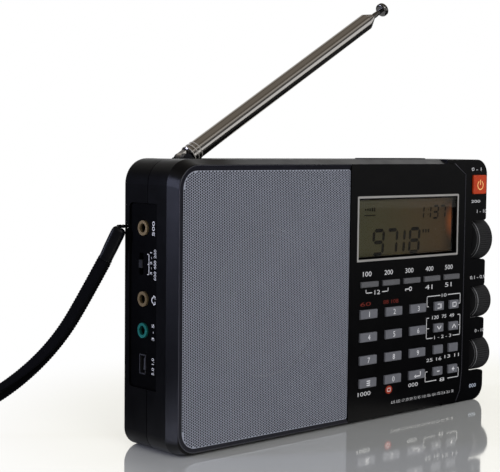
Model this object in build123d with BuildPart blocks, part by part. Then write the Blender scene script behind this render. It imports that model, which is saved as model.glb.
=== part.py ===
"""Portable shortwave receiver: keypad front, side knobs, telescopic whip antenna and wrist strap.

Millimetres. +X is the listener's right, -Y the front, +Z up. The origin is the centre of the
case's bottom face.
"""

import math
import os

from build123d import *

# ---------------------------------------------------------------- case
case_width = 188.0
case_height = 113.0
case_depth = 33.0
wall = 2.4  # side, top and back walls
front_wall = 3.0  # front wall, up to the front plateau
corner_radius = 7.0
antenna_corner_radius = 10.0  # the upper left corner is rounder than the others
seam_depth = 17.8  # front plateau to the joint between the cabinets
seam_groove = 0.3  # width and depth of the shadow line at that joint
crown_depth = 6.1  # the tapered rim round the front plateau
crown_left = 1.1
crown_top = 2.0
crown_bottom = 1.2
rear_edge_radius = 1.5

left_x = -case_width / 2
right_x = case_width / 2
front_y = -case_depth / 2
back_y = case_depth / 2
seam_y = front_y + seam_depth
crown_y = front_y + crown_depth
inner_front_y = front_y + front_wall
inner_back_y = back_y - wall

# ---------------------------------------------------------------- control strip at the right
strip_step = 1.1  # the strip lies this much below the plateau
strip_width = 17.7
step_bottom_bend = 15.0
step_top_drop = 6.7  # from the top of the case to the bend of the step
step_top_run = 8.1
strip_edge_radius = 0.8
strip_reach = 12.0  # bed of the strip under the plateau
strip_y = front_y + strip_step
step_x = right_x - strip_width  # where the plateau ends
step_top_bend = case_height - step_top_drop

# ---------------------------------------------------------------- knobs, axis along X
tuning_radius = 10.3
small_knob_radius = 8.5
knob_length = 11.0
knob_overhang = 4.0  # how far the knobs stand out of the side
knob_front_gap = 0.2  # knob surface behind the plateau
knob_gap = 0.8  # round the knob in its compartment
notch_share = 0.885  # notch half height over knob radius
notch_corner_radius = 2.5
compartment_depth = 11.0  # from the side
compartment_wall = 1.4
tuning_drop = 37.5  # from the top of the case
fine_tuning_share = 0.462  # of the way from the volume knob up to the tuning knob
volume_z = 21.4
knurl_pitch = 1.05
knurl_depth = 0.3
knob_rim = 0.8  # plain rim at each end of the knurling
knob_rim_chamfer = 0.4
shaft_radius = 3.0
shaft_fit = 0.05
shaft_hole_gap = 0.3
control_size = 9.0
control_length = 6.8
control_depth = 19.5  # from the side to the back of a control

compartment_x = right_x - compartment_depth
control_left = right_x - control_depth
tuning_z = case_height - tuning_drop
fine_tuning_z = volume_z + fine_tuning_share * (tuning_z - volume_z)

# ---------------------------------------------------------------- speaker side
controls_width = 94.0  # from the right side to the right edge of the grille
grille_margin = 3.5  # from the left side
grille_bottom = 2.7
grille_drop = 4.1  # from the top of the case
grille_radius = 7.0
grille_thickness = 0.6
grille_sink = 0.6  # grille face below the plateau
grille_gap = 0.15
bevel_left = 2.2  # slope from the plateau's rim down to the grille
bevel_top = 1.9
bevel_bottom = 1.3
speaker_radius = 33.0
speaker_opening = 29.5
speaker_flange = 1.6
basket_depth = 13.0
basket_back_radius = 17.0
magnet_radius = 16.0
magnet_depth = 9.0
cone_mouth = 28.5
cone_neck = 9.0
cone_depth = 8.0

divider_x = right_x - controls_width
grille_left = left_x + grille_margin
grille_top = case_height - grille_drop
speaker_x = (grille_left + divider_x) / 2
speaker_z = (grille_bottom + grille_top) / 2

# ---------------------------------------------------------------- display
bezel_left = divider_x + 3.9
bezel_width = 67.5
bezel_height = 28.0
bezel_bottom = case_height - 43.6
bezel_line = 1.0
bezel_proud = 0.25
bezel_seat = 1.6  # depth of the seat below the plateau
lens_gap = 0.1
lens_sink = 0.35
lens_ledge = 0.8
lcd_thickness = 2.9
lcd_overlap = 2.0  # module past the window on each side

# ---------------------------------------------------------------- keys
key_travel = 0.8
key_proud = 0.9
key_gap = 0.15  # round each key in its hole
key_flange = 0.8
key_flange_margin = 0.6
key_edge = 0.25
key_rest_gap = 0.1  # flange behind the front wall
digit_key_size = (10.6, 3.9)
small_key_size = (6.4, 3.9)
function_key_size = (10.8, 2.4)
digit_first = (divider_x + 11.5, case_height - 66.2)
digit_pitch = (16.15, 9.93)
small_first_x = divider_x + 58.3
small_pitch_x = 10.65
function_first = (divider_x + 11.8, case_height - 53.4)
function_pitch = 13.8
power_key_centre = (right_x - 6.5, case_height - 11.6)
power_key_size = (9.6, 8.8)
power_key_radius = 0.8
power_column = case_height - 23.0  # the hollow behind the power key starts here
power_key_margin = 0.5
power_pocket = 0.3  # round the power key's flange
top_key_left = divider_x + 17.2
top_key_length = 41.4
top_key_width = 6.0
top_key_y = -4.5
top_key_proud = 0.5
top_key_travel = 0.6

# ---------------------------------------------------------------- circuit board and key mat
board_thickness = 1.6
mat_thickness = 1.2
mat_gap = 0.3  # pressed key to mat
board_left = divider_x + 1.5
board_right = step_x - 2.1
board_bottom = 5.0
board_top = case_height - 5.0
mat_bottom = digit_first[1] - 3 * digit_pitch[1] - 3.0
mat_top = function_first[1] + 4.4
mat_right = step_x - 2.9

# ---------------------------------------------------------------- screws
screw_x = (left_x + 9.5, divider_x - 5.0, right_x - 16.0)
screw_z = (8.5, case_height - 10.0)
boss_radius = 3.0
rear_boss_radius = 3.8
screw_radius = 1.3
screw_hole_gap = 0.15
screw_head_radius = 2.4
screw_head_height = 1.6
screw_head_gap = 0.2
screw_length = 20.0
screw_sink = 1.5  # head below the back face
screw_bottom = 1.5  # plastic left in front of the screw holes

# ---------------------------------------------------------------- jack panel in the left side
panel_front = 12.0  # from the plateau
panel_back = 29.2
panel_top_drop = 17.0  # from the top of the case
panel_height = 71.8
panel_sink = 0.8
panel_thickness = 1.4
panel_gap = 0.2
panel_corner_radius = 2.0  # towards the back
panel_lip = 1.0
panel_lip_thickness = 0.8
jack_depth_from_front = 21.0
jack_bore_radius = 1.8
jack_collar_radius = 2.9
jack_collar_gap = 0.25
jack_body_size = 8.0
jack_body_length = 11.0
jack_bore_length = 12.0
jack_sink = 0.1  # collar behind the side face
usb_height = 7.7
usb_width = 3.9
usb_shell = 0.4
usb_length = 8.5
usb_gap = 0.2
switch_depth_from_front = 22.4
switch_travel = 2.5  # each way from the middle position
switch_knob = (2.2, 3.2)
switch_proud = 0.6
switch_gap = 0.15
switch_plate = 0.8
switch_plate_size = (4.4, 12.0)

panel_top = case_height - panel_top_drop
panel_bottom = panel_top - panel_height
antenna_jack_z = panel_top - 9.6
switch_z = panel_top - 23.5
headphone_jack_z = panel_top - 37.0
line_out_jack_z = panel_top - 49.2
usb_z = panel_top - 62.3
jack_places = (antenna_jack_z, headphone_jack_z, line_out_jack_z)

# ---------------------------------------------------------------- whip antenna
antenna_x = left_x + 22.67
antenna_y = 7.7
antenna_z = case_height - 0.39
antenna_tilt = 30.4  # resting angle above the horizontal
antenna_radius = 3.75
antenna_step = 0.51  # radius lost from each section to the next
antenna_tube_wall = 0.22
antenna_fit = 0.05
antenna_collar_length = 4.0
antenna_mouth_length = 1.2
antenna_base_step = 0.4  # each nested base past the one around it
antenna_end = 121.4  # pivot to the mouth of the outer tube
antenna_sections = 4  # nested tubes, not counting the outer tube and the tip
antenna_mouth_step = 1.1  # each mouth past the one around it
tip_cap_near = 132.4  # pivot to the near face of the cap
tip_cap_length = 2.4
tip_cap_radius = 3.05
tip_cap_edge = 0.8
ferrule_start = 2.6
ferrule_end = 7.1
ferrule_radius = 3.8
ferrule_ring = 4.4
ferrule_ring_size = 0.3
bore_start = 8.1
tang_radius = 3.0
tang_height = 6.0
tang_thickness = 3.0
fork_radius = 2.4
fork_ear = 1.6
fork_gap = 0.1
fork_pin_radius = 1.2
fork_pin_fit = 0.06
turret_radius = 5.6
turret_top = case_height - 5.9
turret_thickness = 1.1
turret_shaft_radius = 3.0
turret_shaft_end = case_height - 14.0
turret_boss_bottom = case_height - 12.3
turret_washer_radius = 4.4
turret_washer_thickness = 0.9
post_radius = 4.6  # round post that carries the fork
post_reach = 2.3  # it ends here on the side of the folded antenna
post_proud = 0.4  # above the case
post_edge_radius = 0.6
pit_gap = 0.3
dish_floor = case_height - 3.45
dish_radius = 11.8  # at the top of the case
channel_gap = 0.4  # round the ferrule of the folded antenna
channel_length = 139.1  # from the antenna's pivot
channel_end = antenna_x + channel_length
channel_wall = 1.7
channel_floor = 2.0

# ---------------------------------------------------------------- battery
cell_radius = 9.2
cell_length = 65.0
cell_z = 22.0
cell_clearance = 2.8  # from the cell to the knobs' controls
cell_gap = 0.4
bay_clearance = 3.0  # behind the circuit board
bay_end = 1.5  # room for a contact at each end
bay_wall = 1.2
door_thickness = 1.8
door_gap = 0.2
door_lap = 1.6  # door past the bay
contact_size = 12.0
contact_thickness = 0.4

cell_left = control_left - cell_clearance - cell_length

# ---------------------------------------------------------------- kickstand
stand_left_margin = 18.0  # from the side
stand_right_margin = 16.0  # from the middle
stand_pivot_z = 50.0
stand_bottom = 9.0
stand_thickness = 2.2
stand_sink = 0.4  # stand below the back face
stand_gap = 0.35
stand_pin_radius = 1.0
stand_pin_fit = 0.06
stand_pin_length = 1.5
stand_floor = 1.4
stand_finger = 4.0
stand_finger_width = 16.0
stand_groove = 0.5

stand_left = left_x + stand_left_margin
stand_width = divider_x - stand_right_margin - stand_left

# ---------------------------------------------------------------- ferrite rod
ferrite_radius = 4.5
ferrite_length = 66.0
ferrite_left = step_x - 6.3 - ferrite_length
ferrite_y = 6.0
ferrite_z = case_height - 14.5
ferrite_gap = 0.3
coil_length = 22.0
coil_thickness = 0.8
saddle_width = 3.0

# ---------------------------------------------------------------- wrist strap
eyelet_z = antenna_jack_z
strap_start = (left_x - 2.5, back_y - 1.3, eyelet_z - 0.4)
strap_heading = 130.0  # seen from above, counter-clockwise from +X
sleeve_size = (5.6, 4.0)
sleeve_edge_radius = 1.9
sleeve_end_gap = 0.15
strap_radius = 2.3
eyelet_radius = 2.2
eyelet_bore = 0.9
eyelet_cord = 0.6
# distance out from the start and height, the first point being the sleeve's lower end
strap_route = [
    (6.2, eyelet_z - 13.2),
    (15.0, 57.0),
    (22.8, 44.0),
    (33.0, 32.0),
    (46.0, 21.0),
    (61.0, 12.0),
    (77.0, 6.0),
    (93.0, 3.0),
    (107.0, 2.4),
]


def at_y(y):
    """Sketch plane across the case at depth y: local x is X, local y is Z."""
    return Plane.XZ.offset(-y)


def at_x(x):
    """Sketch plane seen from the right end at x: local x is Y, local y is Z."""
    return Plane.YZ.offset(x)


def at_z(z):
    return Plane.XY.offset(z)


def rounded_outline(left, right, bottom, top, radii):
    """A rectangle with its own radius at the lower left, lower right, upper right and upper left."""
    corners = [(left, bottom), (right, bottom), (right, top), (left, top)]
    with BuildSketch() as outline:
        with BuildLine():
            Polyline(*corners, close=True)
        make_face()
        for corner, radius in zip(corners, radii):
            if radius > 0:
                fillet(outline.vertices().sort_by_distance((*corner, 0))[0], radius)
    return outline.sketch


def case_outline(left=0.0, right=0.0, bottom=0.0, top=0.0):
    """The case seen from the front, drawn in by the given amounts."""
    inset = min(left, right, bottom, top) if min(left, right, bottom, top) > 0 else 0
    small, large = corner_radius - inset, antenna_corner_radius - inset
    return rounded_outline(
        left_x + left,
        right_x - right,
        bottom,
        case_height - top,
        (small, small, small, large),
    )


def knob_axis_y(radius):
    return front_y + knob_front_gap + radius


knobs = {
    "tuning_knob": (tuning_radius, tuning_z),
    "fine_tuning_knob": (small_knob_radius, fine_tuning_z),
    "volume_knob": (small_knob_radius, volume_z),
}


def notch_outline(radius, z):
    """A knob's cut-out in the front view, flared with a radius at the case's right edge."""
    half = notch_share * radius
    flare = notch_corner_radius
    beyond = right_x + knob_overhang
    with BuildSketch() as outline:
        with BuildLine():
            Line((compartment_x, z + half), (compartment_x, z - half))
            Line((compartment_x, z - half), (right_x - flare, z - half))
            RadiusArc((right_x - flare, z - half), (right_x, z - half - flare), flare)
            Line((right_x, z - half - flare), (beyond, z - half - flare))
            Line((beyond, z - half - flare), (beyond, z + half + flare))
            Line((beyond, z + half + flare), (right_x, z + half + flare))
            RadiusArc((right_x, z + half + flare), (right_x - flare, z + half), flare)
            Line((right_x - flare, z + half), (compartment_x, z + half))
        make_face()
    return outline.sketch


def knob_compartments():
    """The space cut out of both cabinets round each knob."""
    with BuildPart() as space:
        for radius, z in knobs.values():
            with BuildSketch(at_x(compartment_x)):
                with Locations((knob_axis_y(radius), z)):
                    Circle(radius + knob_gap)
            extrude(amount=right_x + knob_overhang - compartment_x)
            with BuildSketch(at_y(knob_axis_y(radius))):
                add(notch_outline(radius, z))
            extrude(amount=knob_axis_y(radius) - front_y + knob_gap)
    return space.part


def screw_places():
    return [(x, z) for x in screw_x for z in screw_z]


# ================================================================ keys
keys = {}
for column in range(5):
    x = function_first[0] + column * function_pitch
    keys[f"function_key_{column + 1}"] = ((x, function_first[1]), function_key_size)
digit_names = [f"key_{number}" for number in range(1, 10)] + ["memory_key", "key_0", "enter_key"]
for place, name in enumerate(digit_names):
    row, column = divmod(place, 3)
    centre = (digit_first[0] + column * digit_pitch[0], digit_first[1] - row * digit_pitch[1])
    keys[name] = (centre, digit_key_size)
small_names = ["time_key", "alarm_key", "band_down_key", "band_up_key"]
small_names += ["light_key", "lock_key", "minus_key", "plus_key"]
for place, name in enumerate(small_names):
    row, column = divmod(place, 2)
    centre = (small_first_x + column * small_pitch_x, digit_first[1] - row * digit_pitch[1])
    keys[name] = (centre, small_key_size)

flange_y = inner_front_y + key_rest_gap
mat_y = flange_y + key_flange + key_travel + mat_gap
board_y = mat_y + mat_thickness
board_back_y = board_y + board_thickness
cavity_right = compartment_x - compartment_wall
cavity_lap = cavity_right - 1  # the hollows at the right run into the main one
inner_radius = corner_radius - 3.0
cavity_radii = (inner_radius, 1, 1, antenna_corner_radius - 3.0)
power_radii = (0, 1, inner_radius, 0)
panel_front_y = front_y + panel_front
panel_back_y = front_y + panel_back
inner_left_x = left_x + wall
inner_top_z = case_height - wall
jack_y = front_y + jack_depth_from_front
bezel_centre = (bezel_left + bezel_width / 2, bezel_bottom + bezel_height / 2)
speaker_axis = Axis((speaker_x, 0, speaker_z), (0, 1, 0))
turret_axis = Axis((antenna_x, antenna_y, 0), (0, 0, 1))


def box(x0, x1, y0, y1, z0, z1):
    """A plain block between two opposite corners."""
    with BuildPart() as block:
        with Locations(((x0 + x1) / 2, (y0 + y1) / 2, (z0 + z1) / 2)):
            Box(x1 - x0, y1 - y0, z1 - z0)
    return block.part


def turned(profile, plane, axis):
    """A solid of revolution from a closed outline on a plane through its axis."""
    with BuildPart() as piece:
        with BuildSketch(plane):
            with BuildLine():
                Polyline(*profile, close=True)
            make_face()
        revolve(axis=axis)
    return piece.part


def antenna_dish():
    """The pit for the antenna's turret and the dish that lets the raised antenna turn round."""
    pit = turret_radius + pit_gap
    floor = turret_top - turret_thickness - fork_gap
    profile = [
        (0, floor),
        (pit, floor),
        (pit, dish_floor),
        (dish_radius, case_height),
        (dish_radius, case_height + 1),
        (0, case_height + 1),
    ]
    plane = Plane(origin=(antenna_x, antenna_y, 0), x_dir=(1, 0, 0), z_dir=(0, -1, 0))
    return turned(profile, plane, turret_axis)


def jack_panel_opening():
    with BuildPart() as opening:
        add(box(left_x - 1, inner_left_x, panel_front_y, panel_back_y, panel_bottom, panel_top))
        fillet(opening.edges().filter_by(Axis.X).group_by(Axis.Y)[-1], panel_corner_radius)
    return opening.part


# ================================================================ front cabinet
with BuildPart() as plateau:
    with BuildSketch(at_y(crown_y)):
        add(case_outline())
    with BuildSketch(at_y(front_y)):
        add(
            rounded_outline(
                left_x + crown_left,
                right_x,
                crown_bottom,
                case_height - crown_top,
                (
                    corner_radius - crown_bottom,
                    corner_radius,
                    corner_radius,
                    antenna_corner_radius - crown_left,
                ),
            )
        )
    loft(ruled=True)
    step_end = step_x - step_top_run
    with BuildSketch(at_y(crown_y)):
        with BuildLine():
            Polyline(
                (left_x - 1, -1),
                (step_x - 4, -1),
                (step_x - 1.2, 6),
                (step_x, step_bottom_bend),
                (step_x, step_top_bend),
                (step_end, case_height - crown_top + 0.4),
                (step_end - 3, case_height + 1),
                (left_x - 1, case_height + 1),
                close=True,
            )
        make_face()
    extrude(amount=crown_depth, mode=Mode.INTERSECT)

with BuildPart() as strip:
    with BuildSketch(at_y(crown_y)):
        add(case_outline())
        with Locations((left_x, case_height / 2)):
            Rectangle(2 * (step_x - strip_reach - left_x), 2 * case_height, mode=Mode.SUBTRACT)
    extrude(amount=crown_depth - strip_step)
    front_edges = strip.faces().sort_by(Axis.Y)[0].edges()
    outer_edges = front_edges.filter_by(lambda edge: edge.center().X > step_x - strip_reach + seam_groove)
    fillet(outer_edges, strip_edge_radius)

with BuildPart() as front_cabinet:
    with BuildSketch(at_y(seam_y - seam_groove)):
        add(case_outline())
    extrude(amount=seam_y - seam_groove - crown_y)
    with BuildSketch(at_y(seam_y)):
        add(case_outline(seam_groove, seam_groove, seam_groove, seam_groove))
    extrude(amount=seam_groove)
    add(plateau.part)
    add(strip.part)
    # hollow behind the speaker and keypad, and behind the power key
    with BuildSketch(at_y(seam_y)):
        add(rounded_outline(inner_left_x, cavity_right, wall, inner_top_z, cavity_radii))
        add(rounded_outline(cavity_lap, right_x - wall, power_column, inner_top_z, power_radii))
    extrude(amount=seam_y - inner_front_y, mode=Mode.SUBTRACT)
    pocket = [size + 2 * (power_key_margin + power_pocket) for size in power_key_size]
    with BuildSketch(at_y(flange_y + key_flange + key_travel + mat_gap)):
        with Locations(power_key_centre):
            Rectangle(*pocket)
    extrude(amount=mat_y - inner_front_y, mode=Mode.SUBTRACT)
    # sloped frame and seat of the grille
    with BuildSketch(at_y(front_y)):
        add(
            rounded_outline(
                grille_left - bevel_left,
                divider_x,
                grille_bottom - bevel_bottom,
                grille_top + bevel_top,
                (grille_radius + bevel_bottom, 0.2, 0.2, grille_radius + bevel_left),
            )
        )
    with BuildSketch(at_y(front_y + grille_sink)):
        add(
            rounded_outline(
                grille_left,
                divider_x,
                grille_bottom,
                grille_top,
                (grille_radius, 0.2, 0.2, grille_radius),
            )
        )
    loft(ruled=True, mode=Mode.SUBTRACT)
    with BuildSketch(at_y(front_y + grille_sink + grille_thickness)):
        add(
            rounded_outline(
                grille_left,
                divider_x,
                grille_bottom,
                grille_top,
                (grille_radius, 0.2, 0.2, grille_radius),
            )
        )
    extrude(amount=grille_thickness, mode=Mode.SUBTRACT)
    with BuildSketch(at_y(front_y)):
        with Locations((speaker_x, speaker_z)):
            Circle(speaker_opening)
    extrude(amount=-front_wall, mode=Mode.SUBTRACT)
    # display seat and window
    with BuildSketch(at_y(front_y)):
        with Locations(bezel_centre):
            Rectangle(bezel_width + 2 * lens_gap, bezel_height + 2 * lens_gap)
    extrude(amount=-bezel_seat, mode=Mode.SUBTRACT)
    window_width = bezel_width - 2 * (bezel_line + lens_ledge)
    window_height = bezel_height - 2 * (bezel_line + lens_ledge)
    with BuildSketch(at_y(front_y)):
        with Locations(bezel_centre):
            Rectangle(window_width, window_height)
    extrude(amount=-front_wall, mode=Mode.SUBTRACT)
    # key holes
    with BuildSketch(at_y(front_y)):
        for centre, size in keys.values():
            with Locations(centre):
                Rectangle(size[0] + 2 * key_gap, size[1] + 2 * key_gap)
        with Locations(power_key_centre):
            RectangleRounded(
                power_key_size[0] + 2 * key_gap,
                power_key_size[1] + 2 * key_gap,
                power_key_radius + key_gap,
            )
    extrude(amount=-front_wall, mode=Mode.SUBTRACT)
    # top key slot
    with BuildSketch(at_z(case_height)):
        with Locations((top_key_left + top_key_length / 2, top_key_y)):
            Rectangle(top_key_length + 2 * key_gap, top_key_width + 2 * key_gap)
    extrude(amount=-wall, mode=Mode.SUBTRACT)
    # thicker top under the antenna's dish
    dish_rib = box(
        antenna_x - dish_radius - 1,
        antenna_x + dish_radius + 1,
        antenna_y - dish_radius - 1,
        seam_y,
        dish_floor - 1.6,
        inner_top_z,
    )
    add(dish_rib)
    add(antenna_dish(), mode=Mode.SUBTRACT)
    # screw bosses
    with BuildSketch(at_y(seam_y)):
        with Locations(*screw_places()):
            Circle(boss_radius)
    extrude(amount=seam_y - inner_front_y)
    with BuildSketch(at_y(seam_y)):
        with Locations(*screw_places()):
            Circle(screw_radius + screw_hole_gap)
    extrude(amount=seam_y - inner_front_y - screw_bottom, mode=Mode.SUBTRACT)
    # knob compartments and shaft holes
    add(knob_compartments(), mode=Mode.SUBTRACT)
    for radius, z in knobs.values():
        with BuildSketch(at_x(cavity_right)):
            with Locations((knob_axis_y(radius), z)):
                Circle(shaft_radius + shaft_hole_gap)
        extrude(amount=compartment_wall, mode=Mode.SUBTRACT)
    add(jack_panel_opening(), mode=Mode.SUBTRACT)
front_cabinet.part.label = "front_cabinet"

# ================================================================ rear cabinet
bay_left = cell_left - bay_end
bay_right = cell_left + cell_length + bay_end
bay_half = cell_radius + cell_gap
cell_y = board_back_y + bay_clearance + bay_wall + bay_half
door_y = back_y - door_thickness
stand_y = back_y - stand_sink - stand_thickness / 2
stand_right = stand_left + stand_width
stand_floor_y = stand_y + -(stand_thickness / 2) - stand_gap
eyelet_axis = Axis((left_x, back_y, 0), (0, 0, 1))


def eyelet(cord_radius):
    """A ring round the case's rear left edge."""
    with BuildPart() as ring:
        with BuildSketch(at_y(back_y)):
            with Locations((left_x + eyelet_radius, eyelet_z)):
                Circle(cord_radius)
        revolve(axis=eyelet_axis)
    return ring.part


with BuildPart() as rear_cabinet:
    with BuildSketch(at_y(back_y)):
        add(case_outline())
    extrude(amount=back_y - seam_y)
    fillet(rear_cabinet.faces().sort_by(Axis.Y)[-1].edges(), rear_edge_radius)
    # hollow, with the thin wall behind the knobs
    with BuildSketch(at_y(inner_back_y)):
        add(rounded_outline(inner_left_x, cavity_right, wall, inner_top_z, cavity_radii))
        add(rounded_outline(cavity_lap, right_x - wall, power_column, inner_top_z, power_radii))
    extrude(amount=inner_back_y - seam_y, mode=Mode.SUBTRACT)
    knob_back_y = knob_axis_y(tuning_radius) + tuning_radius + knob_gap + compartment_wall
    with BuildSketch(at_y(inner_back_y)):
        add(rounded_outline(cavity_lap, right_x - wall, wall, inner_top_z, (0, inner_radius, inner_radius, 0)))
    extrude(amount=inner_back_y - knob_back_y, mode=Mode.SUBTRACT)
    # screw bosses
    with BuildSketch(at_y(seam_y)):
        with Locations(*screw_places()):
            Circle(rear_boss_radius)
    extrude(amount=-(inner_back_y - seam_y))
    # block under the folded antenna, with the turret's bearing below it
    channel_radius = ferrule_radius + channel_gap
    block_front = antenna_y - channel_radius - channel_wall
    block_bottom = antenna_z - channel_radius - channel_floor
    bearing_left = antenna_x - turret_radius - 3
    bearing_right = antenna_x + turret_radius + 3
    add(
        box(
            bearing_left,
            channel_end + channel_wall,
            block_front,
            inner_back_y,
            block_bottom,
            inner_top_z,
        )
    )
    add(box(bearing_left, bearing_right, block_front, inner_back_y, turret_boss_bottom, block_bottom))
    # battery bay
    add(
        box(
            bay_left - bay_wall,
            bay_right + bay_wall,
            cell_y - bay_half - bay_wall,
            inner_back_y,
            cell_z - bay_half - bay_wall,
            cell_z + bay_half + bay_wall,
        )
    )
    add(
        box(bay_left, bay_right, cell_y - bay_half, back_y, cell_z - bay_half, cell_z + bay_half),
        mode=Mode.SUBTRACT,
    )
    door_recess = box(
        bay_left - door_lap - door_gap,
        bay_right + door_lap + door_gap,
        door_y - door_gap / 2,
        back_y,
        cell_z - bay_half - door_lap - door_gap,
        cell_z + bay_half + door_lap + door_gap,
    )
    add(door_recess, mode=Mode.SUBTRACT)
    # kickstand recess with its floor and a finger scoop
    add(
        box(
            stand_left - 3,
            stand_right + 3,
            stand_floor_y - stand_floor,
            inner_back_y,
            stand_bottom - stand_finger - 1,
            stand_pivot_z + 3.5,
        )
    )
    add(
        box(
            stand_left - stand_gap,
            stand_right + stand_gap,
            stand_floor_y,
            back_y,
            stand_bottom - stand_gap,
            stand_pivot_z + stand_thickness / 2 + stand_gap,
        ),
        mode=Mode.SUBTRACT,
    )
    stand_middle = (stand_left + stand_right) / 2
    with BuildSketch(at_y(stand_floor_y)):
        with Locations((stand_middle, stand_bottom)):
            SlotOverall(stand_finger_width, 2 * stand_finger)
    extrude(amount=-(back_y - stand_floor_y), mode=Mode.SUBTRACT)
    with BuildSketch(at_x(stand_left - stand_gap - stand_pin_length)):
        with Locations((stand_y, stand_pivot_z)):
            Circle(stand_pin_radius + stand_pin_fit)
    extrude(amount=stand_width + 2 * (stand_gap + stand_pin_length), mode=Mode.SUBTRACT)
    # saddles for the ferrite rod
    for saddle_x in (ferrite_left + 4, ferrite_left + ferrite_length - 4 - saddle_width):
        add(
            box(
                saddle_x,
                saddle_x + saddle_width,
                ferrite_y,
                inner_back_y,
                ferrite_z - ferrite_radius - 1.5,
                block_bottom,
            )
        )
    with BuildSketch(at_x(ferrite_left)):
        with Locations((ferrite_y, ferrite_z)):
            Circle(ferrite_radius + ferrite_gap)
    extrude(amount=ferrite_length, mode=Mode.SUBTRACT)
    # antenna channel, dish, and the turret's shaft hole
    with BuildSketch(at_x(antenna_x)):
        with Locations((antenna_y, antenna_z)):
            Circle(channel_radius)
        with Locations((antenna_y, antenna_z + 5)):
            Rectangle(2 * channel_radius, 10)
    extrude(amount=channel_end - antenna_x, mode=Mode.SUBTRACT)
    add(antenna_dish(), mode=Mode.SUBTRACT)
    with BuildSketch(at_z(turret_boss_bottom)):
        with Locations((antenna_x, antenna_y)):
            Circle(turret_shaft_radius + antenna_fit)
    extrude(amount=turret_top - turret_boss_bottom, mode=Mode.SUBTRACT)
    # screw holes
    head_y = back_y - screw_sink - screw_head_height
    with BuildSketch(at_y(back_y)):
        with Locations(*screw_places()):
            Circle(screw_head_radius + screw_head_gap)
    extrude(amount=back_y - head_y, mode=Mode.SUBTRACT)
    with BuildSketch(at_y(back_y)):
        with Locations(*screw_places()):
            Circle(screw_radius + screw_hole_gap)
    extrude(amount=back_y - seam_y, mode=Mode.SUBTRACT)
    add(knob_compartments(), mode=Mode.SUBTRACT)
    add(jack_panel_opening(), mode=Mode.SUBTRACT)
    add(eyelet(eyelet_bore), mode=Mode.SUBTRACT)
rear_cabinet.part.label = "rear_cabinet"

with BuildPart() as case_screws:
    with BuildSketch(at_y(head_y)):
        with Locations(*screw_places()):
            Circle(screw_radius)
    extrude(amount=screw_length)
    with BuildSketch(at_y(head_y + screw_head_height)):
        with Locations(*screw_places()):
            Circle(screw_head_radius)
    extrude(amount=screw_head_height)
    fillet(case_screws.faces().group_by(Axis.Y)[-1].edges(), 0.5)
case_screws.part.label = "case_screws"

# ================================================================ grille and speaker
with BuildPart() as speaker_grille:
    with BuildSketch(at_y(front_y + grille_sink + grille_thickness)):
        edge = grille_radius - grille_gap
        add(
            rounded_outline(
                grille_left + grille_gap,
                divider_x - grille_gap,
                grille_bottom + grille_gap,
                grille_top - grille_gap,
                (edge, 0.2, 0.2, edge),
            )
        )
    extrude(amount=grille_thickness)
speaker_grille.part.label = "speaker_grille"

speaker_plane = Plane(origin=(speaker_x, 0, speaker_z), x_dir=(1, 0, 0), z_dir=(0, 0, 1))
rim_y = inner_front_y
basket_y = rim_y + basket_depth
speaker_profile = [
    (0, rim_y + cone_depth - 2.5),
    (cone_neck * 0.6, rim_y + cone_depth - 2.0),
    (cone_neck, rim_y + cone_depth),
    (cone_mouth - 2.5, rim_y + 1.0),
    (cone_mouth - 1.2, rim_y + 0.3),
    (cone_mouth, rim_y + 0.8),
    (speaker_opening + 0.5, rim_y),
    (speaker_radius, rim_y),
    (speaker_radius, rim_y + speaker_flange),
    (speaker_opening, rim_y + speaker_flange),
    (basket_back_radius, basket_y),
    (magnet_radius, basket_y),
    (magnet_radius, basket_y + magnet_depth),
    (0, basket_y + magnet_depth),
]
speaker_part = turned(speaker_profile, speaker_plane, speaker_axis)
speaker_part.label = "speaker"

# ================================================================ display
with BuildPart() as lcd_frame:
    with BuildSketch(at_y(front_y + bezel_seat)):
        with Locations(bezel_centre):
            RectangleRounded(bezel_width, bezel_height, 0.6)
            Rectangle(bezel_width - 2 * bezel_line, bezel_height - 2 * bezel_line, mode=Mode.SUBTRACT)
    extrude(amount=bezel_seat + bezel_proud)
    outer_edges = lcd_frame.faces().sort_by(Axis.Y)[0].edges()
    chamfer(outer_edges, 0.15)
lcd_frame.part.label = "lcd_frame"

with BuildPart() as lcd_window:
    inner = 2 * (bezel_line + lens_gap)
    with BuildSketch(at_y(front_y + bezel_seat)):
        with Locations(bezel_centre):
            Rectangle(bezel_width - inner, bezel_height - inner)
    extrude(amount=bezel_seat - lens_sink)
lcd_window.part.label = "lcd_window"

lcd_module = box(
    bezel_centre[0] - window_width / 2 - lcd_overlap,
    bezel_centre[0] + window_width / 2 + lcd_overlap,
    inner_front_y + lens_gap,
    inner_front_y + lcd_thickness,
    bezel_centre[1] - window_height / 2 - lcd_overlap,
    bezel_centre[1] + window_height / 2 + lcd_overlap,
)
lcd_module.label = "lcd_module"

# ================================================================ circuit board, key mat, controls
with BuildPart() as main_board:
    add(box(board_left, board_right, board_y, board_back_y, board_bottom, board_top))
    # shield can, processor and amplifier on the board's rear face
    for right, up, width, height, rise in (
        (18.5, 75.0, 26.0, 20.0, 3.2),
        (44.5, 41.0, 14.0, 14.0, 1.4),
        (12.5, 41.0, 8.0, 5.0, 1.6),
        (52.5, 77.0, 9.0, 6.0, 2.0),
    ):
        x, z = board_left + right, board_bottom + up
        add(
            box(
                x - width / 2,
                x + width / 2,
                board_back_y,
                board_back_y + rise,
                z - height / 2,
                z + height / 2,
            )
        )
main_board.part.label = "main_board"

key_mat = box(board_left, mat_right, mat_y, board_y, mat_bottom, mat_top)
key_mat.label = "key_mat"


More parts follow.
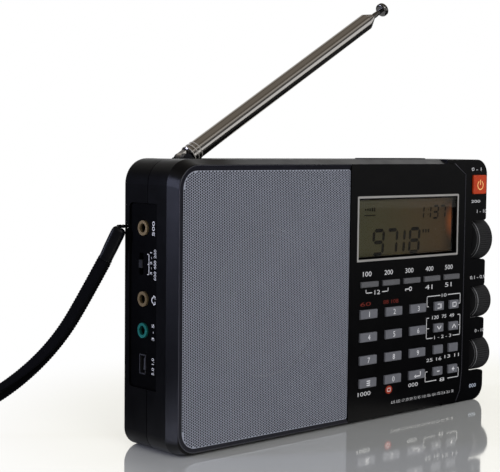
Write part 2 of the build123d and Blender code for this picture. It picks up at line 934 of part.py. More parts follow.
def key_solid(name, centre, size, margin, top_y, radius):
    """A key cap with the flange that keeps it behind the front wall."""
    with BuildPart() as key:
        with BuildSketch(at_y(flange_y)):
            with Locations(centre):
                RectangleRounded(*size, radius)
        extrude(amount=flange_y - top_y)
        chamfer(key.faces().sort_by(Axis.Y)[0].edges(), key_edge)
        with BuildSketch(at_y(flange_y + key_flange)):
            with Locations(centre):
                Rectangle(size[0] + 2 * margin, size[1] + 2 * margin)
        extrude(amount=key_flange)
    key.part.label = name
    return key.part


key_solids = []
for name, (centre, size) in keys.items():
    key_top = front_y - key_proud
    key_solids.append(key_solid(name, centre, size, key_flange_margin, key_top, 0.3))
key_solids.append(
    key_solid(
        "power_key",
        power_key_centre,
        power_key_size,
        power_key_margin,
        strip_y - key_proud,
        power_key_radius,
    )
)

with BuildPart() as top_key:
    middle = (top_key_left + top_key_length / 2, top_key_y)
    flange_z = inner_top_z - key_rest_gap
    with BuildSketch(at_z(flange_z)):
        with Locations(middle):
            RectangleRounded(top_key_length, top_key_width, 0.8)
    extrude(amount=case_height + top_key_proud - flange_z)
    fillet(top_key.faces().sort_by(Axis.Z)[-1].edges(), 0.4)
    with BuildSketch(at_z(flange_z)):
        with Locations(middle):
            Rectangle(top_key_length + 1.6, top_key_width + 1.6)
    extrude(amount=-key_flange)
top_key.part.label = "top_key"

with BuildPart() as rotary_controls:
    for radius, z in knobs.values():
        with BuildSketch(at_x(control_left)):
            with Locations((knob_axis_y(radius), z)):
                RectangleRounded(control_size, control_size + 2, 0.6)
        extrude(amount=control_length)
        with BuildSketch(at_x(control_left)):
            with Locations((knob_axis_y(radius), z)):
                Circle(shaft_radius + shaft_fit)
        extrude(amount=control_length, mode=Mode.SUBTRACT)
rotary_controls.part.label = "rotary_controls"


def knob_solid(name, radius, z):
    """A knob knurled round its rim, on its shaft."""
    centre = (knob_axis_y(radius), z)
    near = right_x + knob_overhang - knob_length
    ridges = round(2 * math.pi * radius / knurl_pitch)
    outline = []
    for step in range(2 * ridges):
        angle = math.pi * step / ridges
        reach = radius - (step % 2) * knurl_depth
        outline.append((centre[0] + reach * math.cos(angle), centre[1] + reach * math.sin(angle)))
    with BuildPart() as knob:
        with BuildSketch(at_x(near)):
            with Locations(centre):
                Circle(radius)
        extrude(amount=knob_rim)
        chamfer(knob.faces().sort_by(Axis.X)[0].edges(), knob_rim_chamfer)
        with BuildSketch(at_x(near + knob_rim)):
            with BuildLine():
                Polyline(*outline, close=True)
            make_face()
        extrude(amount=knob_length - 2 * knob_rim)
        with BuildSketch(at_x(near + knob_length - knob_rim)):
            with Locations(centre):
                Circle(radius - knurl_depth / 2)
        extrude(amount=knob_rim)
        chamfer(knob.faces().sort_by(Axis.X)[-1].edges(), knob_rim_chamfer)
        # shallow dish in the outer end
        with BuildSketch(at_x(near + knob_length)):
            with Locations(centre):
                Circle(radius - 2.2)
        extrude(amount=-0.5, mode=Mode.SUBTRACT)
        with BuildSketch(at_x(near)):
            with Locations(centre):
                Circle(shaft_radius)
        extrude(amount=-(near - control_left - 1))
    knob.part.label = name
    return knob.part


knob_solids = [knob_solid(name, radius, z) for name, (radius, z) in knobs.items()]

# ================================================================ jack panel and its sockets
panel_x = left_x + panel_sink
lip_x = inner_left_x + panel_lip_thickness
switch_y = front_y + switch_depth_from_front
switch_hole = (switch_knob[0] + 2 * switch_gap, switch_knob[1] + 2 * (switch_travel + switch_gap))
with BuildPart() as jack_panel:
    add(
        box(
            panel_x,
            inner_left_x,
            panel_front_y + panel_gap,
            panel_back_y - panel_gap,
            panel_bottom + panel_gap,
            panel_top - panel_gap,
        )
    )
    rear_edges = jack_panel.edges().filter_by(Axis.X).group_by(Axis.Y)[-1]
    fillet(rear_edges, panel_corner_radius - panel_gap)
    add(
        box(
            inner_left_x,
            lip_x,
            panel_front_y - panel_lip,
            panel_back_y + panel_lip,
            panel_bottom - panel_lip,
            panel_top + panel_lip,
        )
    )
    with BuildSketch(at_x(panel_x)):
        with Locations(*[(jack_y, z) for z in jack_places]):
            Circle(jack_collar_radius + jack_collar_gap)
        with Locations((jack_y, usb_z)):
            RectangleRounded(usb_width + 2 * usb_gap, usb_height + 2 * usb_gap, 0.5)
        with Locations((switch_y, switch_z)):
            Rectangle(*switch_hole)
    extrude(amount=lip_x - panel_x, mode=Mode.SUBTRACT)
    # guides either side of the slide switch
    guide = switch_plate_size[0] / 2 + switch_gap
    for start in (switch_y - guide - 0.8, switch_y + guide):
        add(
            box(
                lip_x,
                lip_x + switch_plate + 0.2,
                start,
                start + 0.8,
                switch_z - 8,
                switch_z + 8,
            )
        )
jack_panel.part.label = "jack_panel"

with BuildPart() as audio_jacks:
    for z in jack_places:
        add(
            box(
                lip_x + 0.1,
                lip_x + 0.1 + jack_body_length,
                jack_y - jack_body_size / 2,
                jack_y + jack_body_size / 2,
                z - jack_body_size / 2,
                z + jack_body_size / 2,
            )
        )
        with BuildSketch(at_x(left_x + jack_sink)):
            with Locations((jack_y, z)):
                Circle(jack_collar_radius)
        extrude(amount=lip_x + 0.1 - left_x - jack_sink)
        with BuildSketch(at_x(left_x + jack_sink)):
            with Locations((jack_y, z)):
                Circle(jack_bore_radius)
        extrude(amount=jack_bore_length, mode=Mode.SUBTRACT)
audio_jacks.part.label = "audio_jacks"

with BuildPart() as usb_socket:
    usb_x = left_x + 0.4
    with BuildSketch(at_x(usb_x)):
        with Locations((jack_y, usb_z)):
            RectangleRounded(usb_width, usb_height, 0.4)
    extrude(amount=usb_length)
    with BuildSketch(at_x(usb_x)):
        with Locations((jack_y, usb_z)):
            Rectangle(usb_width - 2 * usb_shell, usb_height - 2 * usb_shell)
    extrude(amount=usb_length - 2, mode=Mode.SUBTRACT)
    with BuildSketch(at_x(usb_x + 1)):
        with Locations((jack_y, usb_z)):
            Rectangle(0.8, usb_height - 3)
    extrude(amount=usb_length - 2)
usb_socket.part.label = "usb_socket"

with BuildPart() as gain_switch:
    knob_x = left_x - switch_proud + panel_sink
    plate_x = lip_x + 0.1
    with BuildSketch(at_x(knob_x)):
        with Locations((switch_y, switch_z)):
            Rectangle(*switch_knob)
    extrude(amount=plate_x - knob_x)
    chamfer(gain_switch.faces().sort_by(Axis.X)[0].edges(), 0.2)
    with BuildSketch(at_x(plate_x)):
        with Locations((switch_y, switch_z)):
            Rectangle(*switch_plate_size)
    extrude(amount=switch_plate)
gain_switch.part.label = "gain_switch"

# ================================================================ ferrite rod and battery
with BuildPart() as ferrite_rod:
    with BuildSketch(at_x(ferrite_left)):
        with Locations((ferrite_y, ferrite_z)):
            Circle(ferrite_radius)
    extrude(amount=ferrite_length)
    with BuildSketch(at_x(ferrite_left + (ferrite_length - coil_length) / 2)):
        with Locations((ferrite_y, ferrite_z)):
            Circle(ferrite_radius + coil_thickness)
    extrude(amount=coil_length)
ferrite_rod.part.label = "ferrite_rod"

with BuildPart() as battery_cell:
    with BuildSketch(at_x(cell_left)):
        with Locations((cell_y, cell_z)):
            Circle(cell_radius)
    extrude(amount=cell_length)
    fillet(battery_cell.edges().filter_by(GeomType.CIRCLE), 0.6)
battery_cell.part.label = "battery_cell"

with BuildPart() as battery_contacts:
    for side, end in ((1, bay_left), (-1, bay_right)):
        back = end + side * 0.05
        leaf = back + side * contact_thickness
        tip = end + side * (bay_end - 0.1)
        with BuildSketch(at_z(cell_z - contact_size / 2)):
            with BuildLine():
                Polyline(
                    (back, cell_y - contact_size / 2),
                    (leaf, cell_y - contact_size / 2),
                    (leaf, cell_y - contact_size / 4),
                    (tip, cell_y - 1),
                    (tip, cell_y + 1),
                    (leaf, cell_y + contact_size / 4),
                    (leaf, cell_y + contact_size / 2),
                    (back, cell_y + contact_size / 2),
                    close=True,
                )
            make_face()
        extrude(amount=contact_size)
battery_contacts.part.label = "battery_contacts"

with BuildPart() as battery_door:
    add(
        box(
            bay_left - door_lap,
            bay_right + door_lap,
            door_y,
            back_y,
            cell_z - bay_half - door_lap,
            cell_z + bay_half + door_lap,
        )
    )
    fillet(battery_door.edges().filter_by(Axis.Y), 0.8)
    # ridges for the thumb, cut into the door
    with BuildSketch(at_y(back_y)):
        with Locations(((bay_left + bay_right) / 2, cell_z + bay_half - 3)):
            with GridLocations(0, 1.6, 1, 4):
                Rectangle(16, 0.7)
    extrude(amount=-0.5, mode=Mode.SUBTRACT)
battery_door.part.label = "battery_door"

# ================================================================ kickstand
with BuildPart() as kickstand:
    half = stand_thickness / 2
    with BuildSketch(at_x(stand_left)):
        with Locations((stand_y, stand_pivot_z)):
            Circle(half)
        with BuildLine():
            Polyline(
                (stand_y - half, stand_pivot_z),
                (stand_y - half, stand_bottom + 0.8),
                (stand_y - half + 0.8, stand_bottom),
                (stand_y + half, stand_bottom),
                (stand_y + half, stand_pivot_z),
                close=True,
            )
        make_face()
    extrude(amount=stand_width)
    with BuildSketch(at_x(stand_left - stand_gap - stand_pin_length + 0.2)):
        with Locations((stand_y, stand_pivot_z)):
            Circle(stand_pin_radius)
    extrude(amount=stand_width + 2 * (stand_gap + stand_pin_length - 0.2))
    # grip ridges at the free edge, cut into the outer face
    with BuildSketch(at_y(stand_y + half)):
        with Locations((stand_middle, stand_bottom + 6)):
            with GridLocations(0, 1.8, 1, 4):
                Rectangle(stand_finger_width, 0.8)
    extrude(amount=stand_groove, mode=Mode.SUBTRACT)
kickstand.part.label = "kickstand"

# ================================================================ whip antenna
tilt = math.radians(antenna_tilt)
antenna_direction = (math.cos(tilt), 0, math.sin(tilt))
pivot = (antenna_x, antenna_y, antenna_z)
antenna_plane = Plane(origin=pivot, x_dir=antenna_direction, z_dir=(0, -1, 0))
antenna_axis = Axis(pivot, antenna_direction)
section_radii = [antenna_radius - antenna_step * count for count in range(antenna_sections + 2)]

with BuildPart() as antenna_swivel:
    with BuildSketch(at_z(turret_top)):
        with Locations((antenna_x, antenna_y)):
            Circle(turret_radius)
    extrude(amount=-turret_thickness)
    with BuildSketch(at_z(turret_top - turret_thickness)):
        with Locations((antenna_x, antenna_y)):
            Circle(turret_shaft_radius)
    extrude(amount=-(turret_top - turret_thickness - turret_shaft_end))
    with BuildSketch(at_z(turret_boss_bottom - fork_gap)):
        with Locations((antenna_x, antenna_y)):
            Circle(turret_washer_radius)
    extrude(amount=-turret_washer_thickness)
    ear_gap = tang_thickness / 2 + fork_gap
    # round post, flat towards the folded antenna and slotted for its tang
    with BuildSketch(at_z(turret_top)):
        with Locations((antenna_x, antenna_y)):
            Circle(post_radius)
        with Locations((antenna_x + post_reach + post_radius, antenna_y)):
            Rectangle(2 * post_radius, 2 * post_radius, mode=Mode.SUBTRACT)
        with Locations((antenna_x, antenna_y)):
            Rectangle(2 * post_radius, 2 * ear_gap, mode=Mode.SUBTRACT)
    extrude(amount=case_height + post_proud - turret_top)
    post_edges = antenna_swivel.edges().group_by(Axis.Z)[-1].filter_by(GeomType.CIRCLE)
    fillet(post_edges, post_edge_radius)
    for ear_y in (antenna_y - ear_gap, antenna_y + ear_gap + fork_ear):
        with BuildSketch(at_y(ear_y)):
            with Locations((antenna_x, antenna_z)):
                Circle(fork_radius)
            with Locations((antenna_x, (antenna_z + turret_top) / 2)):
                Rectangle(2 * fork_radius, antenna_z - turret_top)
        extrude(amount=fork_ear)
    with BuildSketch(at_y(antenna_y + ear_gap)):
        with Locations((antenna_x, antenna_z)):
            Circle(fork_pin_radius)
    extrude(amount=2 * ear_gap)
antenna_swivel.part.label = "antenna_swivel"

bore = antenna_radius - antenna_tube_wall
mouth = section_radii[1] + antenna_fit
outer_profile = [
    (ferrule_start, 0),
    (ferrule_start, ferrule_radius - 0.3),
    (ferrule_start + 0.3, ferrule_radius),
    (ferrule_ring - ferrule_ring_size / 2, ferrule_radius),
    (ferrule_ring, ferrule_radius - ferrule_ring_size),
    (ferrule_ring + ferrule_ring_size / 2, ferrule_radius),
    (ferrule_end - 0.1, ferrule_radius),
    (ferrule_end, antenna_radius),
    (antenna_end - 0.4, antenna_radius),
    (antenna_end, antenna_radius - 0.25),
    (antenna_end, mouth),
    (antenna_end - antenna_mouth_length, mouth),
    (antenna_end - antenna_mouth_length, bore),
    (bore_start, bore),
    (bore_start, 0),
]
with BuildPart() as antenna_tube:
    add(turned(outer_profile, antenna_plane, antenna_axis))
    with BuildSketch(antenna_plane):
        Circle(tang_radius)
        with Locations((ferrule_start / 2, 0)):
            Rectangle(ferrule_start + 0.2, tang_height)
        Circle(fork_pin_radius + fork_pin_fit, mode=Mode.SUBTRACT)
    extrude(amount=tang_thickness / 2, both=True)
antenna_tube.part.label = "antenna_tube"

antenna_nested = []
for count in range(1, antenna_sections + 1):
    radius = section_radii[count]
    collar = section_radii[count - 1] - antenna_tube_wall - antenna_fit
    base = bore_start + antenna_base_step * count
    end = antenna_end + antenna_mouth_step * count
    bore = radius - antenna_tube_wall
    mouth = section_radii[count + 1] + antenna_fit
    profile = [
        (base, bore),
        (base, collar),
        (base + antenna_collar_length, collar),
        (base + antenna_collar_length, radius),
        (end - 0.3, radius),
        (end, radius - 0.2),
        (end, mouth),
        (end - antenna_mouth_length, mouth),
        (end - antenna_mouth_length, bore),
    ]
    section = turned(profile, antenna_plane, antenna_axis)
    section.label = f"antenna_section_{count + 1}"
    antenna_nested.append(section)

tip_radius = section_radii[-1]
tip_base = bore_start + antenna_base_step * (antenna_sections + 1)
tip_collar = section_radii[-2] - antenna_tube_wall - antenna_fit
tip_profile = [
    (tip_base, 0),
    (tip_base, tip_collar),
    (tip_base + antenna_collar_length, tip_collar),
    (tip_base + antenna_collar_length, tip_radius),
    (tip_cap_near - 4, tip_radius),
    (tip_cap_near, tip_radius - 0.25),
    (tip_cap_near, 0),
]
with BuildPart() as antenna_tip:
    with BuildSketch(Plane(antenna_plane.from_local_coords(Vector(tip_cap_near, 0, 0)), z_dir=antenna_direction)):
        Circle(tip_cap_radius)
    extrude(amount=tip_cap_length)
    fillet(antenna_tip.edges().filter_by(GeomType.CIRCLE), tip_cap_edge)
    add(turned(tip_profile, antenna_plane, antenna_axis))
antenna_tip.part.label = "antenna_tip"

# ================================================================ wrist strap
heading = math.radians(strap_heading)
strap_plane = Plane(
    origin=strap_start,
    x_dir=(math.cos(heading), math.sin(heading), 0),
    z_dir=(math.sin(heading), -math.cos(heading), 0),
)
route = [(out, z - strap_start[2]) for out, z in strap_route]
sleeve_length = math.hypot(*route[0]) - sleeve_end_gap
sleeve_direction = strap_plane.from_local_coords(Vector(*route[0], 0)) - Vector(*strap_start)
sleeve_plane = Plane(origin=strap_start, x_dir=strap_plane.z_dir, z_dir=sleeve_direction)

with BuildPart() as strap_sleeve:
    with BuildSketch(sleeve_plane):
        RectangleRounded(sleeve_size[1], sleeve_size[0], sleeve_edge_radius)
    extrude(amount=sleeve_length)
    fillet(strap_sleeve.faces().sort_by(Axis.Z)[-1].edges(), 1.2)
    fillet(strap_sleeve.faces().sort_by(Axis.Z)[0].edges(), 0.5)
    add(eyelet(eyelet_cord))
strap_sleeve.part.label = "strap_sleeve"

radii = []
for before, here, after in zip(route, route[1:], route[2:]):
    run = (Vector(*here) - Vector(*before), Vector(*after) - Vector(*here))
    half_turn = math.radians(run[0].get_angle(run[1])) / 2
    radii.append(0.45 * min(run[0].length, run[1].length) / math.tan(half_turn))
print("strap bend radii", [round(radius, 1) for radius in radii])
with BuildPart() as wrist_strap:
    with BuildLine(strap_plane) as strap_path:
        FilletPolyline(*route, radius=radii)
    with BuildSketch(Plane(origin=strap_path.line @ 0, z_dir=strap_path.line % 0)):
        Circle(strap_radius)
    sweep()
wrist_strap.part.label = "wrist_strap"
strap_length = sum(edge.length for edge in strap_path.edges())
section = math.pi * strap_radius**2
filled = wrist_strap.part.volume / (section * strap_length)
print("strap length", round(strap_length, 1), "volume over section and length", round(filled, 4))

# ================================================================ export
pieces = [
    front_cabinet.part,
    rear_cabinet.part,
    case_screws.part,
    speaker_grille.part,
    speaker_part,
    lcd_frame.part,
    lcd_window.part,
    lcd_module,
    main_board.part,
    key_mat,
    rotary_controls.part,
    jack_panel.part,
    audio_jacks.part,
    usb_socket.part,
    ferrite_rod.part,
    battery_cell.part,
    battery_contacts.part,
    gain_switch.part,
    top_key.part,
    kickstand.part,
    battery_door.part,
    antenna_swivel.part,
    antenna_tube.part,
    antenna_tip.part,
    strap_sleeve.part,
    wrist_strap.part,
]
pieces += key_solids + knob_solids + antenna_nested
os.makedirs("parts", exist_ok=True)
for piece in pieces:
    export_step(piece, f"parts/{piece.label}.step")
    print(piece.label, len(piece.solids()), round(piece.volume, 1), piece.is_valid)
print(len(pieces), "nodes")
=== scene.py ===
"""Looks of the portable shortwave receiver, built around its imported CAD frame.

Metres. +X is the listener's right, -Y the front, +Z up. The origin is the centre of the case's
bottom face.
"""

import math

import bpy
from mathutils import Matrix, Vector
from mathutils.geometry import tessellate_polygon


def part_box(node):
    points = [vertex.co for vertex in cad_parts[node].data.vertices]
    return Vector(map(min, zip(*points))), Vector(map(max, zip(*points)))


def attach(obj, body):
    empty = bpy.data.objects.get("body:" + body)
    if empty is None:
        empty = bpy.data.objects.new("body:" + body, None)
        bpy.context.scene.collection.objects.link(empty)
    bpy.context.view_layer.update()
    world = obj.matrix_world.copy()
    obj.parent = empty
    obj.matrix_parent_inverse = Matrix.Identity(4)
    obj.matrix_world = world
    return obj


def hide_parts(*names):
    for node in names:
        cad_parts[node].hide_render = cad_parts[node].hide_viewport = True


MM = 0.001

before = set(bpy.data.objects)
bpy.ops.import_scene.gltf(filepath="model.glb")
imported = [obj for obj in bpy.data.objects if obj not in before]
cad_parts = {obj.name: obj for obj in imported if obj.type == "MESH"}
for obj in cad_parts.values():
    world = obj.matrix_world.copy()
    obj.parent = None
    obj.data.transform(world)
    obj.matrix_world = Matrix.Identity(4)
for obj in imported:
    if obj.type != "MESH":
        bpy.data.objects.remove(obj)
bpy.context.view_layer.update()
scene = bpy.context.scene

FRONT = -16.5 * MM  # plateau of the front cabinet
STRIP = -15.4 * MM  # control strip at the right
PANEL = -93.2 * MM  # jack panel in the left side
PRINT = 0.02 * MM  # thickness of printed marks
PRINT_LIFT = 0.01 * MM


# ==== camera, world, floor, lights
CAMERA_PLACE = Vector((-0.3903, -0.3838, 0.1182))
CAMERA_AZIMUTH = math.radians(-42.20)
CAMERA_ELEVATION = math.radians(4.048)
CAMERA_ROLL = math.radians(0.607)
LENS = 91.64


def camera_axes():
    """Right, up and back of the camera, with its roll."""
    az, el, roll = CAMERA_AZIMUTH, CAMERA_ELEVATION, CAMERA_ROLL
    back = Vector((math.sin(az) * math.cos(el), -math.cos(az) * math.cos(el), math.sin(el)))
    right = Vector((math.cos(az), math.sin(az), 0))
    up = back.cross(right)
    rolled_right = right * math.cos(roll) + up * math.sin(roll)
    rolled_up = up * math.cos(roll) - right * math.sin(roll)
    return rolled_right, rolled_up, back


camera_data = bpy.data.cameras.new("camera")
camera_data.sensor_width = 36
camera_data.lens = LENS
camera_data.clip_start = 0.01
camera_data.clip_end = 50
camera = bpy.data.objects.new("camera", camera_data)
scene.collection.objects.link(camera)
turned = Matrix(camera_axes()).transposed().to_4x4()
camera.matrix_world = Matrix.Translation(CAMERA_PLACE) @ turned
scene.camera = camera
scene.view_settings.view_transform = "Standard"


def feed(tree, node, inputs):
    """Set a node's inputs, by name or number, to values, or link sockets to them."""
    for key, value in inputs.items():
        if isinstance(value, bpy.types.NodeSocket):
            tree.links.new(value, node.inputs[key])
        else:
            node.inputs[key].default_value = value


def node_of(tree, kind, inputs, **values):
    """A new shader node with the given inputs and properties."""
    node = tree.nodes.new("ShaderNode" + kind)
    for key, value in values.items():
        setattr(node, key, value)
    feed(tree, node, inputs)
    return node


def place_in(tree, kind="Object"):
    """A shaded point's coordinates, and their X, Y and Z."""
    place = node_of(tree, "TexCoord", {}).outputs[kind]
    return place, node_of(tree, "SeparateXYZ", {0: place}).outputs


def joined(tree, operation, first, second):
    """A Math node over two sockets or numbers."""
    return node_of(tree, "Math", {0: first, 1: second}, operation=operation).outputs[0]


def ramped(tree, value, begin, end, low, high, shape="SMOOTHSTEP"):
    """A step of a socket from low at begin to high at end."""
    inputs = {"Value": value, "From Min": begin, "From Max": end, "To Min": low, "To Max": high}
    return node_of(tree, "MapRange", inputs, interpolation_type=shape).outputs["Result"]


def colour_ramp(tree, value, stops, shape="LINEAR"):
    """The colour of a socket's value among stops, each a value and a colour."""
    node = node_of(tree, "ValToRGB", {"Fac": value})
    ramp = node.color_ramp
    ramp.interpolation = shape
    while len(ramp.elements) < len(stops):
        ramp.elements.new(0.5)
    for element, (position, colour) in zip(ramp.elements, stops):
        element.position = position
        element.color = (*colour, 1)
    return node.outputs["Color"]


def blended(tree, share, first, second, way="MIX"):
    """Two colours mixed by the share of the second."""
    inputs = {"Factor": share, 6: first, 7: second}
    return node_of(tree, "Mix", inputs, data_type="RGBA", blend_type=way).outputs[2]


def mixed(tree, share, first, second):
    """Two shaders mixed by the share of the second."""
    return node_of(tree, "MixShader", {0: share, 1: first, 2: second}).outputs[0]


def distance(tree, place, target):
    """How far a place is from a fixed point."""
    return node_of(tree, "VectorMath", {0: place, 1: target}, operation="DISTANCE").outputs["Value"]


WORLD_SOFT = 0.62  # strength that lights the object
BACKDROP = Vector((0.669, 0.743, 0))  # the white backdrop stands this way
WINDOW = Vector((0.665, -0.739, 0.11))  # and a bright window this way
ROOM_DARK = 0.015
# height of the direction (0 level, 1 straight up), strength and warmth of what is reflected there
OVERHEAD = [
    (0.12, ROOM_DARK, 0.0),
    (0.40, 0.08, 0.1),
    (0.52, 0.11, 0.1),
    (0.64, 0.50, 0.12),
    (0.74, 0.50, 0.16),
    (0.82, 0.13, 0.3),
    (0.89, 0.16, 0.3),
    (0.95, 0.25, 0.25),
]


def studio_world():
    """White to the camera; in reflections a white backdrop, a window and a ceiling in an unlit room."""
    world = bpy.data.worlds.new("studio")
    world.use_nodes = True
    tree = world.node_tree
    tree.nodes.clear()
    rays = node_of(tree, "LightPath", {}).outputs
    place, parts = place_in(tree, "Generated")

    def towards(direction, begin, end):
        """1 near a direction and 0 away from it, by the cosine of the angle between."""
        inputs = {0: place, 1: direction.normalized()}
        facing = node_of(tree, "VectorMath", inputs, operation="DOT_PRODUCT").outputs["Value"]
        return ramped(tree, facing, begin, end, 0, 1)

    low_down = ramped(tree, parts["Z"], 0.34, 0.62, 1, 0)
    backdrop = joined(tree, "MULTIPLY", towards(BACKDROP, 0.62, 0.84), low_down)
    lit = joined(tree, "MAXIMUM", backdrop, towards(WINDOW, 0.955, 0.985))
    lit = joined(tree, "MAXIMUM", lit, rays["Is Camera Ray"])
    ceiling = [
        (height, (level, level * (1 - warmth * 0.45), level * (1 - warmth)))
        for height, level, warmth in OVERHEAD
    ]
    seen = blended(tree, 1.0, colour_ramp(tree, parts["Z"], ceiling, "EASE"), lit, "LIGHTEN")
    seen = node_of(tree, "Background", {"Color": seen}).outputs[0]
    soft = {"Color": (0.96, 0.98, 1.0, 1), "Strength": WORLD_SOFT}
    soft = node_of(tree, "Background", soft).outputs[0]
    direct = joined(tree, "MAXIMUM", rays["Is Camera Ray"], rays["Is Glossy Ray"])
    direct = joined(tree, "MAXIMUM", direct, rays["Is Transmission Ray"])
    node_of(tree, "OutputWorld", {"Surface": mixed(tree, direct, soft, seen)})
    return world


scene.world = studio_world()


def area_light(name, place, target, size, power, colour=(1, 1, 1)):
    """A soft rectangular lamp that faces its target."""
    data = bpy.data.lights.new(name, "AREA")
    data.shape = "RECTANGLE"
    data.size, data.size_y = size
    data.energy = power
    data.color = colour
    light = bpy.data.objects.new(name, data)
    scene.collection.objects.link(light)
    light.location = place
    light.rotation_euler = (Vector(target) - Vector(place)).to_track_quat("-Z", "Y").to_euler()


area_light("front_soft", (-0.3, -1.45, 0.95), (0, 0, 0.06), (1.1, 0.8), 13.5)
area_light("left_soft", (-1.19, 0.58, 0.36), (-0.09, 0, 0.06), (0.2, 0.7), 9.0, (0.66, 0.7, 1))


# ==== materials
def new_material(name):
    """A material and its node tree."""
    made = bpy.data.materials.new(name)
    made.use_nodes = True
    return made, made.node_tree


def material(
    name, colour, roughness, specular=0.5, grain=0.3, grain_depth=0.02, metallic=0.0,
    mottle=0.08, mottle_size=6.0, rough_change=0.08, sheen=0.0,
):
    """A moulded or metal surface: colour and gloss that drift a little, and a fine grain.

    mottle_size and grain are the sizes of a patch and of a grain, grain_depth the grain's height,
    all in millimetres.
    """
    made, tree = new_material(name)
    place = node_of(tree, "TexCoord", {}).outputs["Object"]

    def noise(size, detail):
        inputs = {"Vector": place, "Scale": 1 / (size * MM), "Detail": detail}
        return node_of(tree, "TexNoise", inputs).outputs["Fac"]

    patches = noise(mottle_size, 4)
    darker = [c * (1 - mottle) for c in colour]
    lighter = [min(1, c * (1 + mottle)) for c in colour]
    smoothest, roughest = max(0.02, roughness - rough_change), min(1, roughness + rough_change)
    inputs = {
        "Base Color": colour_ramp(tree, patches, [(0.25, darker), (0.75, lighter)]),
        "Roughness": ramped(tree, patches, 0, 1, smoothest, roughest, "LINEAR"),
        "Metallic": metallic,
        "Specular IOR Level": specular,
    }
    if grain_depth:
        bump = {"Height": noise(grain, 2), "Strength": 1.0, "Distance": grain_depth * MM}
        inputs["Normal"] = node_of(tree, "Bump", bump).outputs["Normal"]
    if sheen:
        inputs["Sheen Weight"] = sheen
        inputs["Sheen Roughness"] = 0.4
    feed(tree, tree.nodes["Principled BSDF"], inputs)
    return made


def ink(name, colour, roughness=0.6, specular=0.2, grain=0.1, grain_depth=0.002):
    """Printing, and the display's segments."""
    return material(name, colour, roughness, specular, grain, grain_depth)


# name, colour, roughness, specular, size and depth of the grain in millimetres
case_front = material("case_front_plastic", (0.0012, 0.0012, 0.0016), 0.33, 0.11, 0.25, 0.004)
case_rear = material("case_rear_plastic", (0.001, 0.001, 0.0012), 0.36, 0.08, 0.35, 0.008)
back_cover = material("back_cover_plastic", (0.005, 0.005, 0.006), 0.42, 0.18, 0.45, 0.012)
panel_black = material("jack_panel_plastic", (0.0008, 0.0008, 0.001), 0.36, 0.045, 0.3, 0.006)
# painted sheen: the grille's surround is the case plastic made lighter and bluer
surround_sheen_paint = material("surround_plastic_painted_sheen", (0.009, 0.009, 0.014), 0.4, 0.25, 0.25, 0.004)
# painted highlight: the beads along the grille's lip and the plateau's edge are far lighter than the
# case plastic
edge_highlight_paint = material("painted_edge_highlight", (0.03, 0.03, 0.038), 0.3, 0.4, 0.3, 0.002)
rubber = material("sleeve_rubber", (0.0018, 0.002, 0.0028), 0.36, 0.1, 0.4, 0.01)
grille_metal = material("grille_metal", (0.245, 0.258, 0.31), 0.5, 0.3, mottle=0.05, mottle_size=15)
key_cap = material("key_cap", (0.118, 0.12, 0.138), 0.5, 0.25, 0.2, 0.01, mottle=0.06)
function_cap = material("function_key_cap", (0.09, 0.09, 0.098), 0.5, 0.25, 0.2, mottle=0.06)
power_cap = material("power_key_cap", (0.42, 0.036, 0.006), 0.4, 0.3, mottle=0.06)
knob_grey = material("knob_plastic", (0.018, 0.018, 0.0195), 0.6, 0.25, 0.2, 0.015, mottle=0.1)
# painted highlight: the knob rims stand in for the light caught by each knob's chamfer
rim_highlight_paint = material("knob_rim_painted_highlight", (0.2, 0.2, 0.21), 0.45, 0.4, 0.2, 0.002, metallic=0.2)
steel = material("black_steel", (0.06, 0.06, 0.065), 0.4, 0.5, 0.15, 0.004, metallic=0.9)
swivel_metal = material(
    "swivel_metal", (0.014, 0.014, 0.017), 0.32, 0.5, 0.2, 0.003, metallic=0.9, mottle=0.12
)
polished = {"metallic": 1.0, "mottle": 0.05, "grain_depth": 0, "rough_change": 0.04}
chrome = material("antenna_chrome", (0.46, 0.44, 0.42), 0.13, mottle_size=12, **polished)
tip_chrome = material("antenna_tip_metal", (0.15, 0.145, 0.14), 0.2, **polished)
ring_metal = material("ferrule_ring_metal", (0.36, 0.34, 0.31), 0.3, metallic=0.3, grain_depth=0)
woven = {"mottle": 0.25, "mottle_size": 1.0, "sheen": 0.006}
webbing_black = material("webbing_nylon", (0.0018, 0.0018, 0.0024), 0.75, 0.03, 0.15, 0.05, **woven)
white_print = ink("white_print", (0.55, 0.55, 0.57))
blue_print = ink("pale_blue_print", (0.45, 0.5, 0.6))
red_print = ink("red_print", (0.13, 0.014, 0.009))
key_print = ink("key_print", (0.62, 0.62, 0.65))
power_print = ink("power_print", (0.85, 0.45, 0.16), 0.5, grain_depth=0.02)
red_badge = ink("red_badge_print", (0.3, 0.03, 0.012), 0.5)
lcd_ink = ink("lcd_segments", (0.0008, 0.0006, 0.0004), specular=0.05, grain=0.2)


def tint(made, share, colour):
    """Turn a material's own colour towards another, by the other's share."""
    tree = made.node_tree
    base = tree.nodes["Principled BSDF"].inputs["Base Color"]
    tree.links.new(blended(tree, share, base.links[0].from_socket, (*colour, 1)), base)


def lcd_face_material():
    """Amber backlit face: olive at the left, brown at the right, with a lamp's glow at its edge."""
    made = material("lcd_amber", (0.06, 0.045, 0.02), 0.6, 0.1, 0.3, 0.003)
    tree = made.node_tree
    place, parts = place_in(tree)
    across = ramped(tree, parts["X"], 4 * MM, 72 * MM, 0, 1, "LINEAR")
    stops = [(0, (0.0295, 0.031, 0.0155)), (0.86, (0.035, 0.021, 0.0085)), (1, (0.006, 0.004, 0.003))]
    # the lamp's distance, with heights counting less and depths not at all
    flat = node_of(tree, "VectorMath", {0: place, 1: (1, 0, 0.7)}, operation="MULTIPLY").outputs[0]
    near = ramped(tree, distance(tree, flat, (71.5 * MM, 0, 0.7 * 85 * MM)), 0, 7.5 * MM, 1, 0)
    face = blended(tree, near, colour_ramp(tree, across, stops), (0.2, 0.05, 0.008, 1))
    lit = {"Base Color": face, "Emission Color": face, "Emission Strength": 0.5}
    feed(tree, tree.nodes["Principled BSDF"], lit)
    return made


